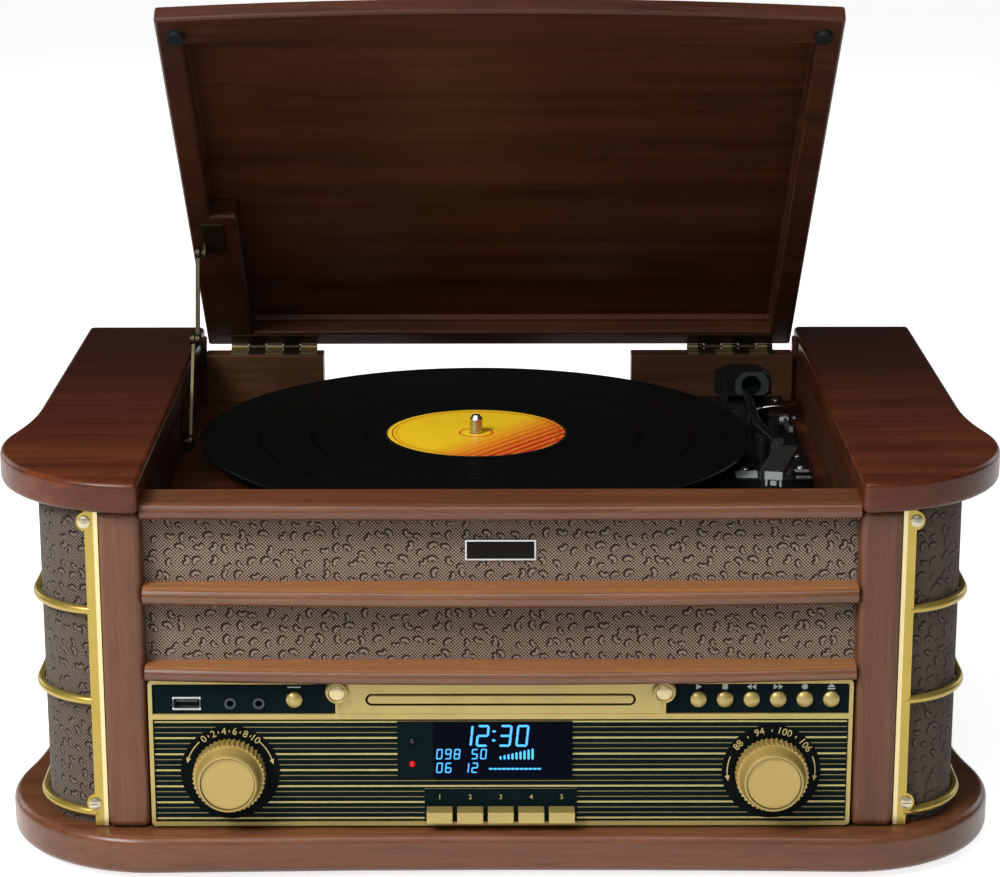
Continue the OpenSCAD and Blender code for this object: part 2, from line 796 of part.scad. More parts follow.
module tray_door() {
    t = 1.2;
    z0 = divider_z + divider_h;
    z1 = panel_top - frame_w;
    color("gold") difference() {
        union() {
            block([-door_half, panel_y - t, z0], [door_half, panel_y, z1]);
            for (x = [-1, 1]) {
                rod_y([x * boss_x, panel_y - frame_t - 0.8, boss_z], boss_r, frame_t + 0.8);
                rod_y([x * boss_x, panel_y - frame_t - 2.2, boss_z], boss_r - 1.8, 2);
            }
        }
        upright(panel_y - 5, 10) translate([0, upper_row]) tray_section(slot_gap);
        upright(panel_y - frame_t, frame_t + 1) translate([0, panel_z]) difference() {
            translate([-panel_w, 0]) square([2 * panel_w, panel_h + 10]);
            translate([0, frame_w])
                rounded_field(panel_w - 2 * frame_w, panel_h - 2 * frame_w, 1.2);
        }
    }
}

module disc_tray() {
    disc_r = 60.6;
    disc_y = panel_y + 72;
    z0 = upper_row - tray_h / 2;
    color("gold") difference() {
        upright(panel_y - 1.2, tray_d) translate([0, upper_row]) tray_section(0);
        translate([0, disc_y, z0 + tray_h - 2]) cylinder(r = disc_r, h = 3);
        translate([0, disc_y, z0 + tray_h - 3]) cylinder(r = 41, h = 3);
        block([-18, disc_y, z0 - 1], [18, disc_y + 52, z0 + tray_h + 1]);
        translate([0, disc_y, z0 - 1]) cylinder(r = 18, h = tray_h + 2);
    }
}

module disc_loader() {
    x = tray_w / 2 + 9;
    y0 = panel_back + 3;
    y1 = panel_y + tray_d + 14;
    z0 = upper_row - 11;
    z1 = upper_row + 8;
    leg_t = 2;
    color("slategray") {
        difference() {
            block([-x, y0, z0], [x, y1, z1]);
            block([-tray_w / 2 - gap, y0 - 1, upper_row - tray_h / 2 - gap],
                  [tray_w / 2 + gap, panel_y + tray_d + 2, upper_row + tray_h / 2 + gap]);
            block([-tray_w / 2 + 10, y0 + 12, upper_row], [tray_w / 2 - 10, y1 - 12, z1 - 1.5]);
        }
        for (s = [-1, 1])
            block([s * (x - leg_t / 2) - leg_t / 2, y0 + 12, plinth_top],
                  [s * (x - leg_t / 2) + leg_t / 2, y1, z0]);
    }
}

// Domed round button with a collar behind the panel and a stem towards its switch
module round_button(x) {
    reach = 1.6;
    color("gold") {
        rod_y([x, panel_y - reach, upper_row], button_r, panel_t + reach + gap);
        translate([x, panel_y - reach, upper_row]) rotate([90, 0, 0]) intersection() {
            translate([0, 0, -button_r]) sphere(r = button_r * sqrt(2));
            cylinder(r = button_r, h = button_r);
        }
        rod_y([x, panel_back + gap, upper_row], button_r + 1, collar_t);
        rod_y([x, panel_back + gap + collar_t, upper_row], 1.5, stem_len);
    }
}

module key(i) {
    x = key_xs[i];
    z0 = panel_z + key_z;
    color("gold") {
        block([x - key_w / 2, panel_y - key_reach, z0],
              [x + key_w / 2, panel_back + gap, z0 + key_h]);
        block([x - key_w / 2 - 0.8, panel_back + gap, z0 - 0.8],
              [x + key_w / 2 + 0.8, panel_back + gap + collar_t, z0 + key_h + 0.8]);
        rod_y([x, panel_back + gap + collar_t, z0 + key_h / 2], 1.5, stem_len);
    }
}

module knob_dials() {
    t = 0.6;
    color("black") for (s = [-1, 1]) difference() {
        rod_y([s * knob_pitch / 2, panel_y - t, panel_z + knob_z], dial_r, t);
        rod_y([s * knob_pitch / 2, panel_y - 2 * t, panel_z + knob_z], shaft_r + 1, 3 * t);
    }
}

// Knob with a knurled skirt, a tapered body, a dished face and a shaft
module knob(s) {
    teeth = 44;
    tooth = 0.5;
    back = 1;
    skirt = 8.5;
    x = s * knob_pitch / 2;
    shaft_len = board_y - panel_y - 1;
    color("gold") translate([x, panel_y, panel_z + knob_z]) rotate([90, 0, 0]) {
        translate([0, 0, back]) linear_extrude(skirt)
            polygon([for (i = [0:2 * teeth - 1]) let (a = 180 * i / teeth,
                                                       r = knob_r - (i % 2) * 2 * tooth)
                        r * [cos(a), sin(a)]]);
        rotate_extrude() polygon([[0, back + skirt], [knob_r - 1.4, back + skirt],
                                  [knob_face_r, knob_reach - 1], [knob_face_r - 0.7, knob_reach],
                                  [knob_face_r - 1.7, knob_reach], [knob_face_r - 2, knob_reach - 1],
                                  [0, knob_reach - 1]]);
        translate([0, 0, -shaft_len]) cylinder(r = shaft_r, h = shaft_len + back);
    }
}

// ---------------------------------------------------------------- inside the cabinet

module circuit_boards() {
    t = 1.6;
    main_y = panel_y + 180;
    main_z = plinth_top + 8;
    color("darkgreen") {
        difference() {
            union() {
                block([-bay_x + 6, board_y, panel_z + 6], [bay_x - 6, board_y + t, panel_top - 22]);
                for (s = [-1, 1]) {
                    block([s * knob_pitch / 2 - 7, board_y - 5, panel_z + knob_z - 7],
                          [s * knob_pitch / 2 + 7, board_y, panel_z + knob_z + 7]);
                    rod_y([s * knob_pitch / 2, panel_back + 0.5, panel_z + knob_z], shaft_r + 1.5,
                          board_y - panel_back - 5);
                }
                for (x = [-bay_x + 12, -60, 60, bay_x - 12])
                    rod_y([x, panel_back, panel_z + 12], 3, board_y - panel_back);
                both() block([door_half + 8, board_y, panel_top - 23],
                             [bay_x - 6, board_y + t, panel_top - 4]);
                for (x = button_xs)
                    block([x - 3, board_y - switch_t, upper_row - 3],
                          [x + 3, board_y, upper_row + 3]);
                for (x = key_xs)
                    block([x - 3, board_y - switch_t, panel_z + key_z],
                          [x + 3, board_y, panel_z + key_z + key_h]);
            }
            for (s = [-1, 1])
                rod_y([s * knob_pitch / 2, panel_back, panel_z + knob_z], shaft_r + run, 12);
            for (x = jack_xs) rod_y([x, board_y - 1, socket_z], jack_ring_r, 12);
        }
        block([-130, main_y, main_z], [50, main_y + 100, main_z + t]);
        for (x = [-124, 44], y = [main_y + 6, main_y + 94])
            translate([x, y, plinth_top]) cylinder(r = 3, h = main_z - plinth_top);
        block([-120, main_y + 20, main_z + t], [-60, main_y + 26, main_z + 32]);
        for (x = [-30, -10, 10, 30])
            translate([x, main_y + 40, main_z + t]) cylinder(r = 6, h = 20);
    }
}

module power_transformer() {
    c = [105, panel_y + 225];
    color("silver") {
        block([c[0] - 30, c[1] - 12, plinth_top], [c[0] + 30, c[1] + 12, plinth_top + 48]);
        difference() {
            block([c[0] - 18, c[1] - 24, plinth_top + 9], [c[0] + 18, c[1] + 24, plinth_top + 39]);
            block([c[0] - 30, c[1] - 12, plinth_top], [c[0] + 30, c[1] + 12, plinth_top + 48]);
        }
        for (s = [-1, 1])
            block([c[0] + s * 35 - 5, c[1] - 12, plinth_top],
                  [c[0] + s * 35 + 5, c[1] + 12, plinth_top + 2]);
    }
}

// Loudspeaker behind each side board: frame, cone and magnet in one body of revolution
module speakers() {
    depth = 30;
    face = pod_x - pod_board_t;
    color("dimgray") both() translate([face, speaker_y, speaker_z]) rotate([0, -90, 0])
        rotate_extrude() polygon([[0, 12], [10, 14], [speaker_r - 8, 1.5], [speaker_r - 7, 0],
                                  [speaker_r, 0], [speaker_r, 3], [speaker_r - 4, 3],
                                  [22, 18], [22, depth], [0, depth]]);
}

// ---------------------------------------------------------------- record player

module turntable_chassis() {
    bearing_r = 9;
    color("black") difference() {
        union() {
            translate([platter_c[0], platter_c[1], deck_z]) cylinder(r = chassis_r, h = chassis_h,
                                                                     $fn = 96);
            block([platter_c[0], chassis_front, deck_z], [chassis_right, chassis_back, chassis_z]);
            translate([platter_c[0], platter_c[1], bearing_z])
                cylinder(r = bearing_r, h = chassis_z - bearing_z);
        }
        translate([platter_c[0], platter_c[1], bearing_z + 2])
            cylinder(r = axle_r + run, h = 40);
        translate([motor_c[0], motor_c[1], deck_z - 1]) cylinder(r = 2.5, h = chassis_h + 2);
        translate([arm_c[0], arm_c[1], deck_z - 1]) cylinder(r = arm_sleeve_r, h = chassis_h + 2);
        block([switch_x - 7, switch_y - 1.6, deck_z + 1], [switch_x + 7, switch_y + 1.6, chassis_z + 1]);
    }
}

module platter() {
    top = platter_top - mat_t;
    rim_t = 3;
    hub_r = 8;
    color("black") {
        translate([platter_c[0], platter_c[1], 0]) {
            rotate_extrude($fn = 128) polygon([
                [0, bearing_z + 2.2], [axle_r, bearing_z + 2.2], [axle_r, platter_z],
                [hub_r, platter_z], [hub_r, top - web_t], [drive_rim_r - rim_t, top - web_t],
                [drive_rim_r - rim_t, platter_z], [drive_rim_r, platter_z],
                [drive_rim_r, top - web_t], [platter_r - rim_t, top - web_t],
                [platter_r - rim_t, platter_z], [platter_r, platter_z], [platter_r, top],
                [neck_r, top], [neck_r, pin_start], [spindle_r, pin_start], [spindle_r, pin_end],
                [spindle_r * 0.6, record_top + spindle_rise - 0.4],
                [0, record_top + spindle_rise]]);
            translate([0, 0, top]) difference() {
                cylinder(r = platter_r - 1, h = mat_t, $fn = 128);
                translate([0, 0, -1]) cylinder(r = neck_r, h = mat_t + 2);
            }
        }
    }
}

module record() {
    rim = 2.5;
    dip = 0.25;
    hole = spindle_r + 0.07;
    color("black") translate([platter_c[0], platter_c[1], platter_top])
        rotate_extrude($fn = 128) polygon([
            [hole, 0], [record_r - 0.6, 0], [record_r, 0.5], [record_r, record_t - 0.5],
            [record_r - 0.6, record_t], [record_r - rim, record_t],
            [record_r - rim - 1, record_t - dip], [label_r + 3, record_t - dip],
            [label_r + 2, record_t], [hole, record_t]]);
}

module drive_motor() {
    shaft_r1 = 1;
    color("silver") translate([motor_c[0], motor_c[1], 0]) difference() {
        translate([0, 0, deck_z - 22]) cylinder(r = motor_r, h = 22);
        translate([0, 0, deck_z - 20]) cylinder(r = shaft_r1 + run, h = 21);
    }
}

module motor_pulley() {
    shaft_r1 = 1;
    color("gold") translate([motor_c[0], motor_c[1], 0]) {
        translate([0, 0, deck_z - 19.8]) cylinder(r = shaft_r1, h = belt_z - deck_z + 19.8);
        translate([0, 0, belt_z - 0.4]) cylinder(r = pulley_r, h = belt_h + 0.6);
    }
}

// Plan of the belt grown by d: two round ends joined by the straight runs between their tangents
module belt_plan(d) {
    r1 = drive_rim_r + gap + d;
    r2 = pulley_r + gap + d;
    a = acos((r1 - r2) / motor_off);
    polygon(concat(arc([0, 0], r1, a, 360 - a, 60), arc([motor_off, 0], r2, -a, a, 16)));
}

module drive_belt() {
    color("black") translate([platter_c[0], platter_c[1], belt_z]) rotate([0, 0, motor_angle])
        linear_extrude(belt_h) difference() {
            belt_plan(belt_t);
            belt_plan(0);
        }
}

rest_out = 92;
lever_x = 160;
lever_y = panel_y + 214;
lever_z = chassis_z + 7;
switch_x = 157;
switch_y = panel_y + 128.5;
switch_travel = 9;

// Base of the tonearm, with the arm's rest and the cue lever's bracket beside it
module tonearm_base() {
    base_r = 14;
    tube_z = arm_z - arm_tube_r;
    rest_in = elbow_in * (tube_len - rest_out) / elbow_back;
    rest = arm_c + rest_out * [sin(arm_park), -cos(arm_park)]
        - rest_in * [cos(arm_park), sin(arm_park)];
    color("black") {
        difference() {
            union() {
                translate([arm_c[0], arm_c[1], chassis_z])
                    cylinder(r = base_r, h = yoke_z - gap - chassis_z);
                translate([arm_c[0], arm_c[1], deck_z - 12]) cylinder(r = arm_sleeve_r, h = 20);
            }
            translate([arm_c[0], arm_c[1], deck_z - 13]) cylinder(r = arm_shaft_r + run, h = 60);
        }
        translate([rest[0], rest[1], chassis_z]) cylinder(r = 3.5, h = tube_z - 3 - chassis_z);
        block([rest[0] - 4, rest[1] - 3, tube_z - 3], [rest[0] + 7, rest[1] + 3, tube_z - gap]);
        block([rest[0] + arm_tube_r + 1, rest[1] - 3, tube_z - 0.5],
              [rest[0] + arm_tube_r + 3, rest[1] + 3, tube_z + 6]);
        difference() {
            block([lever_x - 9, lever_y - 4, chassis_z], [lever_x - 3.5, lever_y + 4, lever_z + 4]);
            rod_x([lever_x - 10, lever_y, lever_z], 1.5 + run, 10);
        }
    }
}

ear_gap = 20;

// Yoke that turns in the base and carries the arm between its ears
module tonearm_yoke() {
    ear_t = 2.5;
    pin_r = 1.5;
    color("black") translate([arm_c[0], arm_c[1], 0]) {
        translate([0, 0, deck_z - 12]) cylinder(r = arm_shaft_r, h = yoke_z - deck_z + 12.1);
        translate([0, 0, yoke_z]) cylinder(r = ear_gap / 2 + ear_t, h = 2.5);
        difference() {
            for (s = [-1, 1])
                block([s * (ear_gap + ear_t) / 2 - ear_t / 2, -5, yoke_z],
                      [s * (ear_gap + ear_t) / 2 + ear_t / 2, 5, arm_z + 4]);
            rod_x([-ear_gap, 0, arm_z], pin_r + run, 2 * ear_gap);
        }
    }
}

// Housing of the counterweight, chamfered at its top so that it clears the lid when the arm swings
module weight_housing() {
    half = 16;
    z0 = -6;
    z1 = 10;
    y0 = 7;
    y1 = 24;
    side_cut = 8;
    back_cut = 9;
    drop = 6;
    intersection() {
        upright(y0, y1 - y0)
            polygon([[-half, z0], [half, z0], [half, z1 - drop], [half - side_cut, z1],
                     [side_cut - half, z1], [-half, z1 - drop]]);
        rotate([90, 0, 90]) translate([0, 0, -half]) linear_extrude(2 * half)
            polygon([[y0, z0], [y1, z0], [y1, z1 - drop], [y1 - back_cut, z1], [y0, z1]]);
    }
}

// Straight piece of the arm's tube between two points of its plane
module arm_tube(p, q) {
    translate([p[0], p[1], 0]) rotate([0, 90, atan2(q[1] - p[1], q[0] - p[0])])
        cylinder(r = arm_tube_r, h = norm(q - p));
}

// Tonearm: pivot block with its cross pin, counterweight, tube with an elbow, and headshell
module tonearm() {
    body_w = ear_gap - 2 * gap;
    elbow = [-elbow_in, elbow_back - tube_len];
    color("dimgray") translate([arm_c[0], arm_c[1], arm_z]) rotate([0, 0, arm_park]) {
        rotate([0, 0, -arm_park]) {
            rod_x([-ear_gap / 2 - 2.4, 0, 0], 1.5, ear_gap + 4.8);
            block([-body_w / 2, -6, -3.6], [body_w / 2, 7, 6]);
            weight_housing();
        }
        difference() {
            arm_tube([0, 0], elbow);
            block([-10, -5.9, -10], [10, 8, 10]);
        }
        translate([elbow[0], elbow[1], 0]) sphere(r = arm_tube_r + 0.4);
        arm_tube(elbow, [0, -tube_len]);
        translate([0, -tube_len, 0]) rotate([0, 0, -head_angle]) {
            translate([0, 2, 0]) rotate([90, 0, 0]) cylinder(r = arm_tube_r + 0.8, h = 12);
            block([head_shift - head_w / 2, -head_l, -head_t], [head_shift + head_w / 2, -4, 0.5]);
        }
    }
}

module cartridge() {
    body = [9, 20, 4.2];
    z1 = arm_z - head_t;
    color("red") translate([arm_c[0], arm_c[1], 0]) rotate([0, 0, arm_park])
        translate([0, -tube_len, 0]) rotate([0, 0, -head_angle])
            translate([head_shift, -head_l, 0]) {
                block([-body[0] / 2, 0, z1 - body[2]], [body[0] / 2, body[1], z1]);
                block([-1.5, -2, z1 - body[2] - 0.6], [1.5, 8, z1 - body[2] + 1]);
            }
}

// Bent lever that raises the arm
module cue_lever() {
    bend = 18;
    color("silver") {
        rod_x([lever_x - 3.2, lever_y, lever_z], 4, 5);
        rod_x([lever_x - 8.5, lever_y, lever_z], 1.5, 6);
        block([lever_x - 1, lever_y - bend, lever_z - 1], [lever_x + 1, lever_y, lever_z + 2.4]);
        translate([lever_x - 1, lever_y - bend + 1, lever_z - 1]) rotate([-12, 0, 0])
            block([0, -20, 0], [2, 1, 3]);
    }
}

// Slider that selects the platter's speed
module speed_switch() {
    x = switch_x - switch_travel / 2;
    color("silver") {
        block([x - 2, switch_y - 1.3, deck_z + 1 + gap], [x + 2, switch_y + 1.3, chassis_z + 1]);
        block([x - 2.5, switch_y - 2.6, chassis_z + gap], [x + 2.5, switch_y + 2.6, chassis_z + 4]);
    }
}

// ---------------------------------------------------------------- lid

function front_bow(x) = -lid_bow * (1 - (x / lid_x) ^ 2);

module lid_plan() {
    polygon(concat([[lid_x, lid_back], [-lid_x, lid_back]],
                   [for (i = [0:12]) let (x = -lid_x + lid_w * i / 12)
                       [x, lid_front + front_bow(x)]]));
}

module lid_frame() {
    block_w = 14.5;
    stay_block_l = 137;
    color("saddlebrown") raised() {
        difference() {
            translate([0, 0, lid_z]) linear_extrude(lid_frame_t) lid_plan();
            block([-recess_x, recess_front, lid_z - 1], [recess_x, recess_back, lid_z + lid_recess]);
        }
        block([-recess_x, hinge_p[0] - stay_block_l, lid_z],
              [-recess_x + block_w, recess_back, lid_z + lid_recess]);
    }
}

module lid_panel() {
    step = 6;
    color("saddlebrown") raised() difference() {
        block([-recess_x - step, recess_front - step, lid_z + lid_frame_t],
              [recess_x + step, recess_back + step, lid_z + lid_recess + lid_panel_t]);
        block([-recess_x, recess_front, lid_z], [recess_x, recess_back, lid_z + lid_recess]);
    }
}

knuckle_r = 1.7;
hinge_pin_r = 0.9;
leaf_t = 0.8;
leaf_d = 11;
hinge_xs = [-159.2, 111.5];

// One leaf of a lid hinge with the knuckles first, first + 2 ..., its plate below or above the pin
module leaf(x0, first, side) {
    seg = hinge_len / 5;
    py = hinge_p[0];
    pz = hinge_p[1];
    zp = side < 0 ? pz - hinge_rise : pz + hinge_rise - leaf_t;
    cut = knuckle_r + gap;
    difference() {
        union() {
            block([x0, py - leaf_d, zp], [x0 + hinge_len, py, zp + leaf_t]);
            for (i = [first:2:4])
                rod_x([x0 + i * seg + gap / 2, py, pz], knuckle_r, seg - gap);
        }
        for (i = [0:4]) if (i % 2 != first % 2)
            block([x0 + i * seg - gap / 2, py - cut, pz - 3],
                  [x0 + (i + 1) * seg + gap / 2, py + 3, pz + 3]);
        if (side > 0) rod_x([x0 - 1, py, pz], hinge_pin_r + run, hinge_len + 2);
    }
    if (side < 0) rod_x([x0, py, pz], hinge_pin_r, hinge_len);
}

// Brass on the cabinet: the lower hinge leaves with their pins, and the stay's wall bracket
module hinge_leaves() {
    color("darkgoldenrod") {
        for (x = hinge_xs) leaf(x, 0, -1);
        block([-bay_x, stay_foot[0] - 9, stay_foot[1] - 4.5],
              [-bay_x + 1.2, stay_foot[0] + 9, stay_foot[1] + 16]);
        rod_x([-bay_x, stay_foot[0], stay_foot[1]], 2, stay_x + bay_x + 2);
    }
}

// Fittings on the lid: upper hinge leaves, the stay's bracket and two rubber bumpers
module lid_fittings() {
    bumper_r = 4.5;
    bumper_y = panel_y + 15;
    plate_x = -recess_x - 6;
    color("darkgoldenrod") raised() {
        for (x = hinge_xs) leaf(x, 1, 1);
        block([plate_x, stay_pin[0] - 22, lid_z - 1.2], [plate_x + 12, stay_pin[0] + 6, lid_z]);
        block([plate_x, stay_pin[0] - 4, stay_pin[1]], [plate_x + 1.4, stay_pin[0] + 4, lid_z]);
        rod_x([plate_x, stay_pin[0], stay_pin[1]], 4, 1.4);
        rod_x([stay_x + 1.6, stay_pin[0], stay_pin[1]], 1.5, plate_x - stay_x - 1);
        for (s = [-1, 1])
            translate([s * (recess_x + 3), bumper_y, rim_z + gap])
                cylinder(r = bumper_r, h = lid_z - rim_z - gap);
    }
}

// Flat bar between two pivots, in the plane x, with an eye at each end
module link(x, t, p, q, w, eye_p, eye_q) {
    d = norm(q - p);
    a = atan2(q[1] - p[1], q[0] - p[0]);
    translate([x, p[0], p[1]]) rotate([a, 0, 0]) difference() {
        union() {
            rotate([0, 90, 0]) cylinder(r = w, h = t);
            translate([0, d, 0]) rotate([0, 90, 0]) cylinder(r = w, h = t);
            block([0, 0, -w * 0.55], [t, d, w * 0.55]);
        }
        if (eye_p > 0) translate([-1, 0, 0]) rotate([0, 90, 0]) cylinder(r = eye_p, h = t + 2);
        if (eye_q > 0) translate([-1, d, 0]) rotate([0, 90, 0]) cylinder(r = eye_q, h = t + 2);
    }
}

module stay_arm() {
    color("darkgoldenrod") {
        link(stay_x, 1.5, stay_foot, knuckle_open, 4, 2 + run, 0);
        rod_x([stay_x - 1, knuckle_open[0], knuckle_open[1]], 3, 1.1);
    }
}

module stay_rod() {
    color("darkgoldenrod") {
        link(stay_x + 2, 2.2, knuckle_open, stay_pin_open, 3.4, 0, 1.5 + run);
        rod_x([stay_x + 4.1, knuckle_open[0], knuckle_open[1]], 2.4, 0.9);
    }
}

// ---------------------------------------------------------------- assembly

plinth();
rubber_feet();
side_walls();
front_posts();
wing_tops();
side_grilles();
brass_trims();
brass_screws();
front_grille();
top_rail();
grille_rails();
badge_plate();
deck_board();
turntable_chassis();
hinge_blocks();
back_panel();
rear_sockets();
panel_frame();
panel_face();
display_window();
panel_lamps();
front_sockets();
tray_door();
disc_tray();
disc_loader();
round_button(button_xs[0]);  // function_button
for (i = [0:5]) round_button(button_xs[i + 1]);
for (i = [0:4]) key(i);
knob(-1);  // volume_knob
knob(1);  // tuning_knob
knob_dials();
circuit_boards();
power_transformer();
speakers();
platter();
record();
drive_motor();
motor_pulley();
drive_belt();
tonearm_base();
tonearm_yoke();
tonearm();
cartridge();
cue_lever();
speed_switch();
lid_frame();
lid_panel();
lid_fittings();
hinge_leaves();
stay_arm();
stay_rod();
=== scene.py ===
"""Looks of the stereo music centre: finishes, printed marks, small fittings, light and camera."""
import bpy
import bmesh
import math
from mathutils import Matrix, Vector


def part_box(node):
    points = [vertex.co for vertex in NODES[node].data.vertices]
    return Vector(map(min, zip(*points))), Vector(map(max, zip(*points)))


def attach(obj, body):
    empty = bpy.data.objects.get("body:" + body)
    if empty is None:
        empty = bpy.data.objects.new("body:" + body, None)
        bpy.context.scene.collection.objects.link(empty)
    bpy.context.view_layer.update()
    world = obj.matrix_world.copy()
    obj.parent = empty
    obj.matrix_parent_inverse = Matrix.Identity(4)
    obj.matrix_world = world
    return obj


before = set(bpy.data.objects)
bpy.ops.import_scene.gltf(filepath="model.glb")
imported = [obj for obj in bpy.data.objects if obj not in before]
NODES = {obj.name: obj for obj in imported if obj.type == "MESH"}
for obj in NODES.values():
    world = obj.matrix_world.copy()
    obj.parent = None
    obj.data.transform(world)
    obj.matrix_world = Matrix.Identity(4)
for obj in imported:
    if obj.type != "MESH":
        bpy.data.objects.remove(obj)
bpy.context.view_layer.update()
MM = 0.001
KEYS = [name for name in NODES if name.endswith("_key")]
BUTTONS = [name for name in NODES if name.endswith("_button")]


# ------------------------------------------------------------------ places taken from the frame

def low(node):
    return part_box(node)[0]


def high(node):
    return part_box(node)[1]


def middle(node):
    return (low(node) + high(node)) / 2


def mm(points):
    """Vectors in metres from points in millimetres."""
    return [Vector(point) * MM for point in points]


DIAL_Y = low("knob_dials").y
PANEL_Y = high("knob_dials").y
SPINDLE = middle("platter").xy
RECORD_TOP = high("record").z
DECK_Z = high("deck_board").z
CHASSIS_Z = high("turntable_chassis").z
LABEL_R = 50 * MM

# gilt lines of the panel's lower field, of which every third one is thick
LINE_COUNT = 19
LINES_Z = low("panel_face").z + 3.7 * MM
LINES_HEIGHT = 51.5 * MM
LINE_PITCH = LINES_HEIGHT / (LINE_COUNT - 1)

# round front corners of the side boards
CORNER_X = 196 * MM
CORNER_Y = -114.5 * MM
CORNER_R = 39 * MM


# ------------------------------------------------------------------ materials

def empty_tree(owner):
    """The node tree of a material or a world, without the nodes that it starts with."""
    owner.use_nodes = True
    owner.node_tree.nodes.clear()
    return owner.node_tree


class Graph:
    """A material with a Principled shader, and short calls that add nodes to it."""

    def __init__(self, name, metallic=0.0, roughness=0.5, gloss=0.5):
        self.material = bpy.data.materials.new(name)
        self.tree = empty_tree(self.material)
        output = self.tree.nodes.new("ShaderNodeOutputMaterial")
        self.shader = self.tree.nodes.new("ShaderNodeBsdfPrincipled")
        self.join(self.shader.outputs["BSDF"], output.inputs["Surface"])
        self.put("Metallic", metallic)
        self.put("Roughness", roughness)
        self.put("Specular IOR Level", gloss)
        self.place = self.tree.nodes.new("ShaderNodeTexCoord").outputs["Object"]

    def join(self, source, target):
        self.tree.links.new(source, target)

    def feed(self, value, target):
        if isinstance(value, bpy.types.NodeSocket):
            self.join(value, target)
        elif isinstance(value, (tuple, list)) and len(value) == 3 and len(target.default_value) == 4:
            target.default_value = (*value, 1.0)
        else:
            target.default_value = value

    def put(self, name, value):
        self.feed(value, self.shader.inputs[name])

    def math(self, operation, a, b=0.0, c=0.0):
        node = self.tree.nodes.new("ShaderNodeMath")
        node.operation = operation
        for value, socket in zip((a, b, c), node.inputs):
            self.feed(value, socket)
        return node.outputs[0]

    def times(self, a, b):
        return self.math("MULTIPLY", a, b)

    def plus(self, a, b):
        return self.math("ADD", a, b)

    def minus(self, a, b):
        return self.math("SUBTRACT", a, b)

    def length(self, a, b):
        """Length of a flat vector with the parts a and b."""
        return self.math("SQRT", self.plus(self.times(a, a), self.times(b, b)))

    def wave(self, value, pitch):
        """A sine that repeats once in each pitch."""
        return self.math("SINE", self.times(value, 2 * math.pi / pitch))

    def vector(self, operation, a, b=(0.0, 0.0, 0.0)):
        node = self.tree.nodes.new("ShaderNodeVectorMath")
        node.operation = operation
        self.feed(a, node.inputs[0])
        self.feed(b, node.inputs[1])
        return node.outputs["Value"] if operation in ("LENGTH", "DOT_PRODUCT") else node.outputs[0]

    def split(self, vector):
        node = self.tree.nodes.new("ShaderNodeSeparateXYZ")
        self.join(vector, node.inputs[0])
        return node.outputs

    def unite(self, x, y, z):
        node = self.tree.nodes.new("ShaderNodeCombineXYZ")
        for value, socket in zip((x, y, z), node.inputs):
            self.feed(value, socket)
        return node.outputs[0]

    def noise(self, place, scale, detail=3.0, roughness=0.5):
        node = self.tree.nodes.new("ShaderNodeTexNoise")
        self.join(place, node.inputs["Vector"])
        for name, value in (("Scale", scale), ("Detail", detail), ("Roughness", roughness)):
            node.inputs[name].default_value = value
        return node.outputs["Fac"]

    def ramp(self, value, *stops):
        """Colours or greys at given positions, blended between them."""
        node = self.tree.nodes.new("ShaderNodeValToRGB")
        elements = node.color_ramp.elements
        while len(elements) < len(stops):
            elements.new(0.5)
        for element, (position, colour) in zip(elements, stops):
            element.position = position
            grey = (colour,) * 3 if isinstance(colour, (int, float)) else colour
            element.color = (*grey, 1.0)
        self.join(value, node.inputs["Fac"])
        return node.outputs["Color"]

    def step(self, value, edge, soft):
        """0 below the edge and 1 above it, over a soft band."""
        node = self.tree.nodes.new("ShaderNodeMapRange")
        node.interpolation_type = "SMOOTHSTEP"
        self.feed(value, node.inputs["Value"])
        node.inputs["From Min"].default_value = edge - soft
        node.inputs["From Max"].default_value = edge + soft
        return node.outputs["Result"]

    def below(self, value, edge, soft):
        return self.minus(1.0, self.step(value, edge, soft))

    def between(self, value, start, end, soft):
        return self.times(self.step(value, start, soft), self.below(value, end, soft))

    def mix(self, factor, a, b):
        node = self.tree.nodes.new("ShaderNodeMix")
        node.data_type = "RGBA"
        self.feed(factor, node.inputs["Factor"])
        colours = [s for s in node.inputs if s.type == "RGBA"]
        self.feed(a, colours[0])
        self.feed(b, colours[1])
        return [s for s in node.outputs if s.type == "RGBA"][0]

    def bump(self, height, distance, strength):
        """Adds relief to the surface, with its distance in millimetres."""
        node = self.tree.nodes.new("ShaderNodeBump")
        node.inputs["Strength"].default_value = strength
        node.inputs["Distance"].default_value = distance * MM
        self.join(height, node.inputs["Height"])
        if self.shader.inputs["Normal"].is_linked:
            self.join(self.shader.inputs["Normal"].links[0].from_socket, node.inputs["Normal"])
        self.join(node.outputs["Normal"], self.shader.inputs["Normal"])


